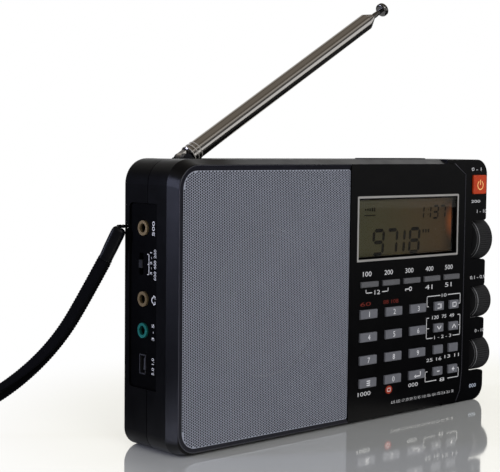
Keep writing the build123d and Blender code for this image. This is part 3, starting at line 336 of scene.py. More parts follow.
def lens_material():
    """Clear window over the display, faintly tinted."""
    made, tree = new_material("display_lens")
    place, _ = place_in(tree)
    smudge = node_of(tree, "TexNoise", {"Vector": place, "Scale": 1 / (12 * MM)}).outputs["Fac"]
    clear = {
        "Base Color": (0.95, 0.93, 0.9, 1),
        "Transmission Weight": 1.0,
        "IOR": 1.18,
        "Roughness": ramped(tree, smudge, 0, 1, 0, 0.015, "LINEAR"),
    }
    feed(tree, tree.nodes["Principled BSDF"], clear)
    return made


def frame_material():
    """Bright line on the front of the display's frame, black on its walls."""
    made = material(
        "silver_trim", (0.4, 0.39, 0.38), 0.35, 0.4, 0.15, 0.004, metallic=0.5, mottle=0.05
    )
    _, parts = place_in(made.node_tree)
    behind = ramped(made.node_tree, parts["Y"], -16.7 * MM, -16.5 * MM, 0, 1)
    tint(made, behind, (0.004, 0.004, 0.004))
    return made


def jack_material():
    """Gold collars, the lowest one in teal enamel, and bores darkened deeper in as painted shade."""
    made = material("jack_rings", (0.26, 0.19, 0.1), 0.35, 0.5, 0.1, 0.002, metallic=0.75)
    _, parts = place_in(made.node_tree)
    tint(made, joined(made.node_tree, "LESS_THAN", parts["Z"], 53 * MM), (0.02, 0.21, 0.18))
    # painted shade: the bores turn near black deeper in, where shade falls
    inside = ramped(made.node_tree, parts["X"], -93.1 * MM, -92.2 * MM, 0, 1)
    tint(made, inside, (0.004, 0.003, 0.002))
    return made


finishes = {
    "front_cabinet": case_front,
    "rear_cabinet": case_rear,
    "case_screws": steel,
    "speaker": material("speaker_paper", (0.02, 0.02, 0.02), 0.9, 0.1, 0.5, 0.05),
    "lcd_frame": frame_material(),
    "lcd_window": lens_material(),
    "lcd_module": lcd_face_material(),
    "main_board": material("circuit_board", (0.01, 0.06, 0.02), 0.5),
    "key_mat": material("key_mat_rubber", (0.02, 0.02, 0.022), 0.8, 0.2),
    "rotary_controls": material("control_metal", (0.3, 0.3, 0.3), 0.4, metallic=0.8),
    "jack_panel": panel_black,
    "audio_jacks": jack_material(),
    "usb_socket": material("socket_steel", (0.14, 0.14, 0.145), 0.35, 0.5, 0.1, 0.002, metallic=1.0),
    "ferrite_rod": material("ferrite", (0.01, 0.01, 0.01), 0.6),
    "battery_cell": material("cell_wrap", (0.02, 0.07, 0.16), 0.35),
    "battery_contacts": material("contact_nickel", (0.5, 0.49, 0.46), 0.3, metallic=1.0),
    "gain_switch": material("switch_plastic", (0.006, 0.006, 0.0065), 0.45, 0.3, 0.2),
    "top_key": material("top_key_cap", (0.006, 0.006, 0.007), 0.45, 0.2, 0.25),
    "kickstand": back_cover,
    "battery_door": back_cover,
    "antenna_swivel": swivel_metal,
    "antenna_tip": tip_chrome,
    "power_key": power_cap,
}
for name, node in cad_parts.items():
    finish = finishes.get(name, key_cap)
    if name.startswith("function_key"):
        finish = function_cap
    elif name.endswith("knob"):
        finish = knob_grey
    elif name.startswith("antenna") and name not in finishes:
        finish = chrome
    node.data.materials.clear()
    node.data.materials.append(finish)


# ==== mesh helpers
def mesh_piece(name, points, faces, finish, body, slot, smooth=False):
    """A mesh object that rides on a body."""
    mesh = bpy.data.meshes.new(name)
    mesh.from_pydata([tuple(p) for p in points], [], faces)
    mesh.validate()
    mesh.update()
    mesh.materials.append(finish)
    if smooth:
        mesh.polygons.foreach_set("use_smooth", [True] * len(mesh.polygons))
    piece = bpy.data.objects.new(name, mesh)
    scene.collection.objects.link(piece)
    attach(piece, body)
    return piece


def skin(rings, size, closed=False, flipped=False):
    """Faces round a tube of equal rings of points, with its ends capped unless it is closed."""
    faces = []
    for i in range(rings if closed else rings - 1):
        a, b = i * size, (i + 1) % rings * size
        for k in range(size):
            n = (k + 1) % size
            faces.append((a + k, a + n, b + n, b + k) if flipped else (a + k, b + k, b + n, a + n))
    if not closed:
        first, last = range(size), range((rings - 1) * size, rings * size)
        faces.append(tuple(reversed(first) if flipped else first))
        faces.append(tuple(last if flipped else reversed(last)))
    return faces


def moved_on(faces, start):
    """Faces with their points' numbers moved on."""
    return [tuple(start + i for i in face) for face in faces]


def mesh_of(curve):
    """The mesh of a curve, which is then removed."""
    holder = bpy.data.objects.new("holder", curve)
    mesh = bpy.data.meshes.new_from_object(holder)
    bpy.data.objects.remove(holder)
    bpy.data.curves.remove(curve)
    return mesh


def circle(steps):
    """Angles of even steps round a circle."""
    return [2 * math.pi * k / steps for k in range(steps)]


def turned_shape(profile, centre, axis, segments):
    """Points and faces of a ring of revolution, about an axis at right angles to Y.

    profile is a closed list of (distance along the axis, radius).
    """
    axis, side = Vector(axis).normalized(), Vector((0, -1, 0))
    other = axis.cross(side)
    points = []
    for angle in circle(segments):
        out = side * math.cos(angle) + other * math.sin(angle)
        points.extend(Vector(centre) + axis * along + out * radius for along, radius in profile)
    return points, skin(segments, len(profile), closed=True)


class Marks:
    """Printed marks gathered into one thin mesh on a plane."""

    def __init__(self, origin, right, up):
        self.origin, self.right, self.up = Vector(origin), Vector(right), Vector(up)
        self.out = self.right.cross(self.up)
        self.points, self.faces = [], []

    def place(self, x, z, lift):
        return self.origin + self.right * (x * MM) + self.up * (z * MM) + self.out * lift

    def polygon(self, corners):
        """A thin slab over a convex or concave outline given counter-clockwise, in millimetres."""
        start, count = len(self.points), len(corners)
        for lift in (PRINT_LIFT, PRINT_LIFT + PRINT):
            self.points += [self.place(x, z, lift) for x, z in corners]
        flat = [Vector((x, z, 0)) for x, z in corners]
        for triangle in tessellate_polygon([flat]):
            a, b, c = (flat[i] for i in triangle)
            order = triangle if (b - a).cross(c - a).z > 0 else triangle[::-1]
            self.faces += moved_on([order], start + count) + moved_on([order[::-1]], start)
        self.faces += moved_on(skin(2, count, flipped=True)[:count], start)

    def bar(self, start, end, width):
        """A straight stroke between two points."""
        (x0, z0), (x1, z1) = start, end
        length = math.hypot(x1 - x0, z1 - z0)
        ox, oz = -(z1 - z0) / length * width / 2, (x1 - x0) / length * width / 2
        self.polygon([(x0 + ox, z0 + oz), (x0 - ox, z0 - oz), (x1 - ox, z1 - oz), (x1 + ox, z1 + oz)])

    def path(self, stops, width):
        """Strokes through several points, lengthened to close the corners; a lone one isn't."""
        for (x0, z0), (x1, z1) in zip(stops, stops[1:]):
            reach = width / 2 / math.hypot(x1 - x0, z1 - z0) if len(stops) > 2 else 0
            dx, dz = (x1 - x0) * reach, (z1 - z0) * reach
            self.bar((x0 - dx, z0 - dz), (x1 + dx, z1 + dz), width)

    def arc(self, centre, radius, width, begin, end, steps):
        """A curved stroke, angles in degrees."""
        (x, z), outer, inner = centre, radius + width / 2, radius - width / 2
        angles = [math.radians(begin + (end - begin) * i / steps) for i in range(steps + 1)]
        for a, b in zip(angles, angles[1:]):
            corners = ((outer, a), (outer, b), (inner, b), (inner, a))
            self.polygon([(x + r * math.cos(t), z + r * math.sin(t)) for r, t in corners])

    def text(self, words, x, z, height, width=None):
        """Plain figures centred on a point, set in Blender's own typeface."""
        curve = bpy.data.curves.new("figures", "FONT")
        curve.body = words
        curve.align_x = "CENTER"
        curve.resolution_u = 3
        mesh = mesh_of(curve)
        xs, zs = ([v.co[axis] for v in mesh.vertices] for axis in (0, 1))
        scale = height / (max(zs) - min(zs))
        stretch = 1.0 if width is None else width / ((max(xs) - min(xs)) * scale)
        cx, cz = (max(xs) + min(xs)) / 2, (max(zs) + min(zs)) / 2
        start, count = len(self.points), len(mesh.vertices)
        for lift in (PRINT_LIFT, PRINT_LIFT + PRINT):
            for v in mesh.vertices:
                right, up = (v.co.x - cx) * scale * stretch, (v.co.y - cz) * scale
                self.points.append(self.place(x + right, z + up, lift))
        edges = {}
        for face in mesh.polygons:
            loop = list(face.vertices)
            self.faces += moved_on([loop], start + count) + moved_on([loop[::-1]], start)
            edges.update(dict.fromkeys(zip(loop, loop[1:] + loop[:1])))
        for a, b in edges:
            if (b, a) not in edges:
                self.faces.append((start + a, start + b, start + count + b, start + count + a))
        bpy.data.meshes.remove(mesh)

    def rows(self, figures):
        """Several figures, each a row of what text() asks for."""
        for row in figures:
            self.text(*row)

    def piece(self, name, finish, body="case", slot="case_front"):
        """Make the marks a piece that rides on a body."""
        mesh_piece(name, self.points, self.faces, finish, body, slot)


def front_marks(depth=FRONT):
    """Marks that face the front at a depth."""
    return Marks((0, depth, 0), (1, 0, 0), (0, 0, 1))


# ==== wrist strap
STRAP_START = Vector((-96.5, 15.2, 86.0)) * MM
STRAP_HEADING = math.radians(130.0)
# distance out from the start and height, in millimetres, from the sleeve's lower end to the floor
STRAP_ROUTE = [(6.2, 73.2), (15.0, 57.0), (22.8, 44.0), (33.0, 32.0), (46.0, 21.0)]
STRAP_ROUTE += [(61.0, 12.0), (77.0, 6.0), (93.0, 3.0), (107.0, 2.4)]
STRAP_WIDTH = 5.2 * MM
STRAP_THICKNESS = 1.15 * MM
STRAP_FOLD = 4.6 * MM  # the layers close over this length at the far end
RIB_PITCH = 1.2 * MM
RIB_HEIGHT = 0.05 * MM
outward = Vector((math.cos(STRAP_HEADING), math.sin(STRAP_HEADING), 0))
across = Vector((-math.sin(STRAP_HEADING), math.cos(STRAP_HEADING), 0))


def strap_place(out, height):
    """The place at a distance out along the strap's heading, and at a height."""
    spot = STRAP_START + outward * (out * MM)
    return Vector((spot.x, spot.y, height * MM))


def spline_points(route):
    """Points along the smooth NURBS line through a route's control points."""
    curve = bpy.data.curves.new("route", "CURVE")
    curve.dimensions = "3D"
    spline = curve.splines.new("NURBS")
    spline.points.add(len(route) - 1)
    for point, place in zip(spline.points, route):
        point.co = (*place, 1)
    spline.order_u = 3
    spline.use_endpoint_u = True
    spline.resolution_u = 24
    mesh = mesh_of(curve)
    points = [v.co.copy() for v in mesh.vertices]
    bpy.data.meshes.remove(mesh)
    return points


def distances(points):
    """How far along a line each of its points is."""
    lengths = [0.0]
    for a, b in zip(points, points[1:]):
        lengths.append(lengths[-1] + (b - a).length)
    return lengths


def evenly(points, step):
    """Points at even distances along a line, its ends included."""
    lengths = distances(points)
    count = max(2, round(lengths[-1] / step))
    spaced, at = [], 0
    for i in range(count + 1):
        want = lengths[-1] * i / count
        while at < len(points) - 2 and lengths[at + 1] < want:
            at += 1
        share = (want - lengths[at]) / ((lengths[at + 1] - lengths[at]) or 1)
        spaced.append(points[at].lerp(points[at + 1], min(1, max(0, share))))
    return spaced


def smooth_step(value, begin, end):
    """0 before begin, 1 after end, and a smooth step between."""
    share = min(1, max(0, (value - begin) / (end - begin)))
    return share * share * (3 - 2 * share)


def strap_line():
    """The webbing's line, out along one layer and back along the other, and the way across it."""
    middle = evenly(spline_points([strap_place(*stop) for stop in STRAP_ROUTE]), 1.0 * MM)
    long = distances(middle)[-1]
    out_layer, back_layer, widths = [], [], []
    for i, point in enumerate(middle):
        along = long * i / (len(middle) - 1)
        left = long - along
        tangent = (middle[min(i + 1, len(middle) - 1)] - middle[max(i - 1, 0)]).normalized()
        above = across.cross(tangent)
        if above.z < 0:
            above = -above
        # the pair of layers twists and parts where it hangs, and lies flat at the end
        lying = smooth_step(along, 0.085, 0.115)
        turn = math.radians(22 + 38 * smooth_step(along, 0.02, 0.075) + 30 * lying)
        stack = across * math.cos(turn) + above * math.sin(turn)
        half = (0.92 + 0.9 * smooth_step(along, 0.03, 0.075) + 0.5 * lying) * MM
        if left < STRAP_FOLD:
            half *= math.sqrt(max(0, 1 - ((STRAP_FOLD - left) / STRAP_FOLD) ** 2))
        lower = point - stack * half
        rise = max(0, STRAP_THICKNESS * 0.6 - lower.z) if turn > 1.2 else 0
        rise = Vector((0, 0, rise))
        out_layer.append(point + stack * half + rise)
        back_layer.append(lower + rise)
        widths.append((across * math.sin(turn) - above * math.cos(turn)).normalized())
    return out_layer + back_layer[-2::-1], widths + widths[-2::-1]


def strap_mesh():
    """A woven band, with ribs across it and a scalloped selvedge; its line and its length."""
    line, sides = strap_line()
    fine_line = evenly(line, 0.3 * MM)
    lengths = distances(line)
    total = lengths[-1]
    face_steps = 8
    points, at = [], 0
    last = len(fine_line) - 1
    for i, point in enumerate(fine_line):
        along = total * i / last
        while at < len(line) - 2 and lengths[at + 1] < along:
            at += 1
        share = (along - lengths[at]) / (lengths[at + 1] - lengths[at])
        side = sides[at].lerp(sides[at + 1], min(1, share))
        tangent = (fine_line[min(i + 1, last)] - fine_line[max(i - 1, 0)]).normalized()
        side = (side - tangent * side.dot(tangent)).normalized()
        normal = tangent.cross(side)
        rib = math.cos(2 * math.pi * along / RIB_PITCH)
        half_width = STRAP_WIDTH / 2 * (1 + 0.035 * rib)
        for face, sign in ((0, 1), (1, -1)):
            for k in range(face_steps + 1):
                place = -1 + 2 * k / face_steps  # from one selvedge to the other
                weave = RIB_HEIGHT * rib * math.cos(math.pi * (k + face))
                height = (STRAP_THICKNESS / 2 - RIB_HEIGHT) * (1 - 0.45 * place**8) + weave
                points.append(point + side * (place * sign * half_width) + normal * (sign * height))
    faces = skin(last + 1, 2 * (face_steps + 1), flipped=True)
    return (points, faces), line, total


strap_shape, strap_path, strap_length = strap_mesh()
strap = mesh_piece("strap_webbing", *strap_shape, webbing_black, "case", "strap_webbing", smooth=True)
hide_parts("wrist_strap")


# share of the sleeve's length, and its size there
SLEEVE_PROFILE = [(0.0, 0.50), (0.02, 0.72), (0.06, 0.90), (0.13, 0.98), (0.22, 1.0), (0.60, 0.99)]
SLEEVE_PROFILE += [(0.86, 0.95), (0.93, 0.95), (0.955, 1.0), (0.985, 1.0), (0.995, 0.93), (0.995, 0.72)]


def sleeve_mesh():
    """The rubber sleeve over both ends of the webbing, with a rolled lip at its mouth."""
    far = strap_place(*STRAP_ROUTE[0]) - STRAP_START
    inward = across.cross(far).normalized()
    half_flat, half_deep = 2.0 * MM, 2.8 * MM
    corners = 28

    def squared(value):
        return math.copysign(abs(value) ** 0.75, value)

    points = []
    for share, size in SLEEVE_PROFILE:
        for angle in circle(corners):
            flat = squared(math.cos(angle)) * half_flat * size
            deep = squared(math.sin(angle)) * half_deep * size
            points.append(STRAP_START + far * share + across * flat + inward * deep)
    return points, skin(len(SLEEVE_PROFILE), corners)


def eyelet_mesh():
    """The thin twisted cord from the sleeve through the eye in the case's rear edge."""
    centre = Vector((-94.0, 16.5, 86.4)) * MM
    radius, thick = 2.2 * MM, 0.6 * MM
    turns, around = 72, 12
    points = []
    for angle in circle(turns):
        out = Vector((math.cos(angle), math.sin(angle), 0))
        for about in circle(around):
            strand = thick * (0.86 + 0.14 * math.cos(2 * about + 10 * angle))
            up = Vector((0, 0, strand * math.sin(about)))
            points.append(centre + out * (radius + strand * math.cos(about)) + up)
    return points, skin(turns, around, closed=True)


on_case = ("case", "strap_sleeve", True)  # body, slot and smooth
sleeve = mesh_piece("strap_rubber_sleeve", *sleeve_mesh(), rubber, *on_case)
eyelet = mesh_piece("strap_eyelet_cord", *eyelet_mesh(), webbing_black, *on_case)
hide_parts("strap_sleeve")


# ==== speaker grille
HOLE_PITCH = 1.0 * MM
HOLE_RADIUS = 0.44 * MM
HOLE_DEPTH = 0.25 * MM
GRILLE_BORDER = 0.06 * MM
GRILLE_CORNERS = [6.85 * MM, 0.2 * MM, 0.2 * MM, 6.85 * MM]
WELD = 0.08 * MM  # corners of cells nearer than this are one


def corner_circles(low, high, radii):
    """Middle, way inwards and radius of each corner, counter-clockwise from the lower left."""
    corners = [(low[0], low[1]), (high[0], low[1]), (high[0], high[1]), (low[0], high[1])]
    for (x, z), radius in zip(corners, radii):
        ox, oz = (1 if x == low[0] else -1), (1 if z == low[1] else -1)
        yield x + ox * radius, z + oz * radius, ox, oz, radius


def rounded_rectangle(low, high, radii, steps):
    """Outline of a rectangle with a radius at each corner."""
    outline = []
    for begin, (px, pz, _, _, radius) in zip((180, 270, 0, 90), corner_circles(low, high, radii)):
        for step in range(steps + 1):
            angle = math.radians(begin + 90 * step / steps)
            outline.append((px + radius * math.cos(angle), pz + radius * math.sin(angle)))
    return outline


def inside_rounded(x, z, low, high, radii, margin):
    """True if a point lies inside a rounded rectangle by at least the margin."""
    if not (low[0] + margin < x < high[0] - margin and low[1] + margin < z < high[1] - margin):
        return False
    return not any(
        (x - px) * ox < 0 and (z - pz) * oz < 0 and math.hypot(x - px, z - pz) > radius - margin
        for px, pz, ox, oz, radius in corner_circles(low, high, radii)
    )


def onto_outline(x, z, low, high, radii, only_outside):
    """The nearest point of a rounded rectangle's outline; a point inside stays, if so asked."""
    cx, cz = min(max(x, low[0]), high[0]), min(max(z, low[1]), high[1])
    for px, pz, ox, oz, radius in corner_circles(low, high, radii):
        far = math.hypot(cx - px, cz - pz)
        if (cx - px) * ox < 0 and (cz - pz) * oz < 0:
            if only_outside and far <= radius:
                return cx, cz
            return px + (cx - px) / far * radius, pz + (cz - pz) / far * radius
    if only_outside:
        return cx, cz
    gaps = [cx - low[0], high[0] - cx, cz - low[1], high[1] - cz]
    side = gaps.index(min(gaps))
    return [(low[0], cz), (high[0], cz), (cx, low[1]), (cx, high[1])][side]


def grille_mesh():
    """Steel sheet with staggered holes up to its edge, and its rim."""
    low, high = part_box("speaker_grille")
    front, back = low[1], high[1]
    flat_low, flat_high = (low[0], low[2]), (high[0], high[2])
    shape = (flat_low, flat_high, GRILLE_CORNERS)
    width, height = flat_high[0] - flat_low[0], flat_high[1] - flat_low[1]
    columns, rows = int(width / (HOLE_PITCH * math.sqrt(3) / 2)), int(height / HOLE_PITCH)
    margin = HOLE_RADIUS + GRILLE_BORDER
    column_pitch, row_pitch = (width - 2.02 * margin) / (columns - 1), height / rows
    wide, tall = column_pitch / 3, row_pitch / 2
    hexagon = [(2 * wide, 0), (wide, tall), (-wide, tall)]
    hexagon += [(-right, -up) for right, up in hexagon]
    rim = [(HOLE_RADIUS * math.cos(a), HOLE_RADIUS * math.sin(a)) for a in circle(6)]
    points, faces, shared = [], [], {}
    border_edges = {}  # edges of the outer cells, which no other cell shares

    def corner(x, z):
        x, z = onto_outline(x, z, *shape, True)
        key = (round(x / WELD), round(z / WELD))
        if key not in shared:
            shared[key] = len(points)
            points.append((x, front, z))
        return shared[key]

    for column in range(columns):
        x = flat_low[0] + 1.01 * margin + column_pitch * column
        for row in range(rows):
            z = flat_low[1] + row_pitch * (row + 0.5 + 0.5 * (column % 2))
            if not inside_rounded(x, z, *shape, margin):
                continue
            cell = [corner(x + right, z + up) for right, up in hexagon]
            start = len(points)
            for y in (front, front + HOLE_DEPTH):
                points.extend((x + right, y, z + up) for right, up in rim)
            for k in range(6):
                n = (k + 1) % 6
                faces.append((start + k, start + n, start + 6 + n, start + 6 + k))
                if cell[k] == cell[n]:
                    faces.append((cell[k], start + n, start + k))
                    continue
                faces.append((cell[k], cell[n], start + n, start + k))
                if border_edges.pop((cell[n], cell[k]), None) is None:
                    border_edges[cell[k], cell[n]] = True
    # plain sheet between the outer cells and the outline, and the rim behind it
    for a, b in border_edges:
        ends = [onto_outline(points[i][0], points[i][2], *shape, False) for i in (a, b)]
        start = len(points)
        points.extend((x, front, z) for x, z in ends)
        points.extend((x, back, z) for x, z in ends)
        faces.append((b, a, start, start + 1))
        faces.append((start + 1, start, start + 2, start + 3))
    return points, faces


grille = mesh_piece("perforated_grille", *grille_mesh(), grille_metal, "case", "grille_metal")
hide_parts("speaker_grille")


# ==== rounded edges, coloured lighter than the case as a painted highlight
CORNER_STEPS = 10
BEAD_RADIUS = 0.2 * MM


def bead(name, route):
    """A thin rounded edge along a route on the front, coloured lighter than the case: a painted
    highlight.
    """
    around = 8
    points = []
    for i, (x, z) in enumerate(route):
        (x0, z0), (x1, z1) = route[max(i - 1, 0)], route[min(i + 1, len(route) - 1)]
        long = math.hypot(x1 - x0, z1 - z0)
        sx, sz = -(z1 - z0) / long, (x1 - x0) / long
        for angle in circle(around):
            out, up = BEAD_RADIUS * math.cos(angle), BEAD_RADIUS * math.sin(angle)
            points.append((x * MM + sx * out, FRONT + up, z * MM + sz * out))
    faces = skin(len(route), around, flipped=True)
    mesh_piece(name, points, faces, edge_highlight_paint, "case", "case_front", smooth=True)


grille_low, grille_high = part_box("speaker_grille")
lip_low = (grille_low[0] / MM - 2.3, grille_low[2] / MM - 1.4)
lip_high = (grille_high[0] / MM, grille_high[2] / MM + 2.0)
outer = rounded_rectangle(lip_low, lip_high, [8.3, 0.2, 0.2, 9.2], CORNER_STEPS)
# from the lower right corner round the left side to the upper right corner
lower_left, upper_left = outer[: CORNER_STEPS + 1], outer[-CORNER_STEPS - 1 :]
lip = [(lip_high[0], lip_low[1]), *lower_left[::-1], *upper_left[::-1], lip_high]
bead("grille_lip", lip)
# the sloped surround between the lip and the sheet, facing the front; a lighter, bluer copy of the case
# plastic, as a painted sheen
inner_low = (grille_low[0] / MM - 0.15, grille_low[2] / MM - 0.15)
inner_high = (grille_high[0] / MM, grille_high[2] / MM + 0.15)
inner = rounded_rectangle(inner_low, inner_high, [7.0, 0.2, 0.2, 7.0], CORNER_STEPS)
slope_points = [(x * MM, FRONT - 0.03 * MM, z * MM) for x, z in outer]
slope_points += [(x * MM, FRONT + 0.57 * MM, z * MM) for x, z in inner]
count = len(outer)
slope_faces = [
    (i, (i + 1) % count, count + (i + 1) % count, count + i)
    for i in range(count)
    if not CORNER_STEPS + 1 <= i <= 3 * (CORNER_STEPS + 1) - 2  # the right side is open
]
mesh_piece("grille_surround", slope_points, slope_faces, surround_sheen_paint, "case", "case_front")
bead("plateau_edge", [(72.3, 1.3), (75.1, 6), (76.2, 15), (76.2, 106.2), (68.2, 111.2)])


# ==== key legends
def key_marks(name):
    """Marks for a key's face, and its middle in millimetres."""
    low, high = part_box(name)
    return front_marks(low[1]), (low[0] + high[0]) / 2 / MM, (low[2] + high[2]) / 2 / MM


for number in range(10):
    name = f"key_{number}"
    marks, x, z = key_marks(name)
    marks.text(str(number), x, z, 2.3)
    marks.piece(f"legend_{name}", key_print, name, "key_plastic")


def open_box(left, right):
    """Three sides of a box, open to the left."""
    return [(left, -0.9), (right, -0.9), (right, 0.9), (left, 0.9)]


# width of the strokes, and the points each runs through, from the key's middle
LEGENDS = {
    "memory_key": (0.45, [[(-1.1, z), (1.1, z)] for z in (-0.9, 0, 0.9)]),
    "enter_key": (0.5, [[(2.0, 1.1), (2.0, -0.6), (-1.3, -0.6)]]),
    "time_key": (0.4, [open_box(-1.2, 0.6), [(1.2, -1.1), (1.2, 1.1)]]),
    "alarm_key": (0.4, [open_box(-0.6, 1.2), [(-1.2, -1.1), (-1.2, 1.1)]]),
    "band_down_key": (0.45, [[(-1.2, 0.7), (0, -0.8), (1.2, 0.7)]]),
    "band_up_key": (0.45, [[(-1.2, -0.7), (0, 0.8), (1.2, -0.7)]]),
    "minus_key": (0.5, [[(-0.9, 0), (0.9, 0)]]),
    "plus_key": (0.5, [[(-0.9, 0), (0.9, 0)], [(0, -0.9), (0, -0.25)], [(0, 0.25), (0, 0.9)]]),
}
for name, (width, strokes) in LEGENDS.items():
    marks, x, z = key_marks(name)
    for stops in strokes:
        marks.path([(x + right, z + up) for right, up in stops], width)
    if name == "enter_key":
        marks.polygon([(x - 2.4, z - 0.6), (x - 1.0, z - 1.4), (x - 1.0, z + 0.2)])
    marks.piece(f"legend_{name}", key_print, name, "key_plastic")

marks, x, z = key_marks("power_key")
marks.arc((x, z - 0.3), 2.0, 0.55, 118, 422, 28)
marks.bar((x, z - 0.2), (x, z + 2.3), 0.55)
marks.piece("legend_power_key", power_print, "power_key", "power_key_plastic")


# ==== marks on the front
TUNING_SCALE = "0.15  0.52  1.7  3.9  5.9  7.3  9.5  11.8  13.6  15.4  17.5  21.6  26.1  30"
# figures, their middle, height and width
FRONT_FIGURES = [
    *((f"{i + 1}00", 10.6 + 13.7 * i, 64.1, 2.1, 5.4) for i in range(5)),
    ("12", 17.2, 55.9, 1.9, 3.6),
    ("41", 51.5, 55.8, 2.0, 5.0),
    ("51", 65.2, 56.1, 2.0, 4.6),
    ("10", 62.4, 51.4, 1.5, 3.4),
    ("120  75  49", 62.1, 41.7, 1.6, 15.6),
    ("1 - 2 - 3", 62.0, 32.5, 1.5, 12.0),
    ("25 16", 56.1, 22.5, 1.5, 10.6),
    ("13 11", 68.8, 23.0, 1.5, 10.4),
    ("8", 62.1, 12.7, 1.7, 3.4),
    ("1000", 9.9, 12.4, 1.8, 8.0),
    ("000", 42.0, 12.6, 1.7, 6.4),
    (TUNING_SCALE, 49.0, 6.4, 1.25, 43.0),
]
# brackets under the first two function keys, then boxes round the small keys
FRONT_BRACKETS = [
    [(10.0, 57.2), (10.0, 55.9), (13.7, 55.9)],
    [(20.4, 55.9), (24.1, 55.9), (24.1, 57.2)],
    [(51.6, 46.9), (50.5, 46.9), (50.5, 51.5), (59.5, 51.5)],
    [(65.3, 51.5), (74.0, 51.5), (74.0, 46.9), (72.9, 46.9)],
    [(51.9, 41.7), (50.4, 41.7), (50.4, 32.4), (54.6, 32.4)],
    [(69.4, 32.4), (74.2, 32.4), (74.2, 41.7), (72.6, 41.7)],
    [(50.4, 36.9), (52.2, 36.9)],
    [(72.9, 36.9), (74.2, 36.9)],
    [(51.6, 17.3), (50.2, 17.3), (50.2, 12.8), (57.9, 12.8)],
    [(66.3, 12.8), (73.8, 12.8), (73.8, 17.0), (72.6, 17.0)],
]
BRACKET_WIDTH = 0.35
labels = front_marks()
labels.rows(FRONT_FIGURES)
for stops in FRONT_BRACKETS:
    labels.path(stops, BRACKET_WIDTH)
# key sign
labels.arc((38.9, 55.9), 0.8, 0.4, 0, 360, 18)
labels.bar((35.3, 55.9), (38.1, 55.9), 0.45)
labels.bar((35.7, 55.9), (35.7, 55.1), 0.45)
labels.piece("front_marks", white_print)

reds = front_marks()
reds.rows([("60", 9.9, 51.2, 1.7, 6.6), ("88 108", 26.1, 51.2, 1.7, 9.8)])
reds.piece("front_red_marks", red_print)
badge = front_marks()
badge_angles = [math.pi * (k + 0.5) / 8 for k in range(16)]
badge.polygon([(25.8 + 2.2 * math.cos(a), 12.3 + 1.8 * math.sin(a)) for a in badge_angles])
badge.piece("front_red_badge", red_badge)
badge_sign = front_marks(FRONT - PRINT - PRINT_LIFT)
badge_sign.path([(24.8, 11.6), (24.8, 13.0), (26.8, 13.0), (26.8, 11.6), (24.8, 11.6)], 0.35)
badge_sign.piece("front_badge_sign", white_print)


# ==== marks on the control strip
STRIP_FIGURES = [
    ("0 - 1", 85.5, 108.5, 1.6, 7.2),
    ("200", 85.4, 93.6, 1.3, 6.6),
    ("1 - 10", 90.1, 88.9, 1.6, 7.2),
    ("0.1 - 0.9", 88.1, 58.0, 1.6, 11.2),
    ("0 - 10", 90.3, 32.7, 1.6, 6.8),
]
strip = front_marks(STRIP)
strip.rows(STRIP_FIGURES)
strip.piece("strip_marks", white_print)
blue = front_marks(STRIP)
blue.text("000", 86.1, 6.9, 1.7, 5.0)
blue.piece("strip_blue_mark", blue_print)


# ==== display segments
SEGMENTS = {"1": "bc", "3": "abgcd", "7": "abc", "8": "abcdefg", "9": "abcdfg"}
# each segment's ends: 0 to 2 go up the left side, 3 to 5 up the right
SEGMENT_ENDS = {"a": "25", "b": "45", "c": "34", "d": "03", "e": "01", "f": "12", "g": "14"}
SLANT = 0.08  # of the figures, to the right for each millimetre up


def digit(marks, figure, left, bottom, width, height, stroke):
    """A seven-segment figure."""
    gap, h = stroke * 0.15, stroke / 2
    corners = [(x, z) for x in (0, width) for z in (0, height / 2, height)]
    for name in SEGMENTS[figure]:
        (x0, z0), (x1, z1) = (corners[int(end)] for end in SEGMENT_ENDS[name])
        long = math.hypot(x1 - x0, z1 - z0)
        right, up = (x1 - x0) / long, (z1 - z0) / long
        far = long - gap
        shape = [(gap, 0), (gap + h, -h), (far - h, -h), (far, 0), (far - h, h), (gap + h, h)]
        upright = [(x0 + right * a - up * b, z0 + up * a + right * b) for a, b in shape]
        marks.polygon([(left + x + SLANT * z, bottom + z) for x, z in upright])


display = front_marks(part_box("lcd_module")[0][1])
for figure, left in zip("9718", (16.8, 25.6, 30.6, 40.6)):
    digit(display, figure, left, 72.0, 6.2, 10.2, 1.6)
for figure, left in zip("1137", (46.6, 51.4, 56.6, 61.6)):
    digit(display, figure, left, 86.6, 3.4, 5.4, 0.95)
display.bar((53.3, 88.0), (53.3, 88.5), 0.6)
display.bar((53.4, 90.2), (53.4, 90.7), 0.6)
display.bar((16.9, 70.9), (20.6, 70.9), 0.6)
for i in range(3):
    display.bar((49.6 + 1.8 * i, 81.0), (50.7 + 1.8 * i, 81.0), 1.6)
for i in range(5):
    display.bar((11.5 + 1.4 * i, 91.4), (12.4 + 1.4 * i, 91.4), 0.8 + 0.25 * i)
display.bar((11.15, 88.9), (18.25, 88.9), 0.5)
display.piece("display_figures", lcd_ink, slot="lcd_amber")


# ==== knob rims, light grey as a painted highlight on each knob's chamfer
RIM_LEFT = 87.0 * MM
# distance along the axis, and how far inside the knob's radius, in millimetres
RIM_PROFILE = [(-0.05, 0.75), (0.05, 0.45), (0.3, 0.15), (0.6, -0.02)]
RIM_PROFILE += [(0.95, -0.03), (0.95, 0.6), (0.4, 0.9)]
for name, radius in (("tuning_knob", 10.3), ("fine_tuning_knob", 8.5), ("volume_knob", 8.5)):
    low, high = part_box(name)
    centre = (RIM_LEFT, low[1] + radius * MM, (low[2] + high[2]) / 2)
    profile = [(along * MM, (radius - inside) * MM) for along, inside in RIM_PROFILE]
    points, faces = turned_shape(profile, centre, (1, 0, 0), 96)
    mesh_piece(f"rim_{name}", points, faces, rim_highlight_paint, name, "knob_plastic")


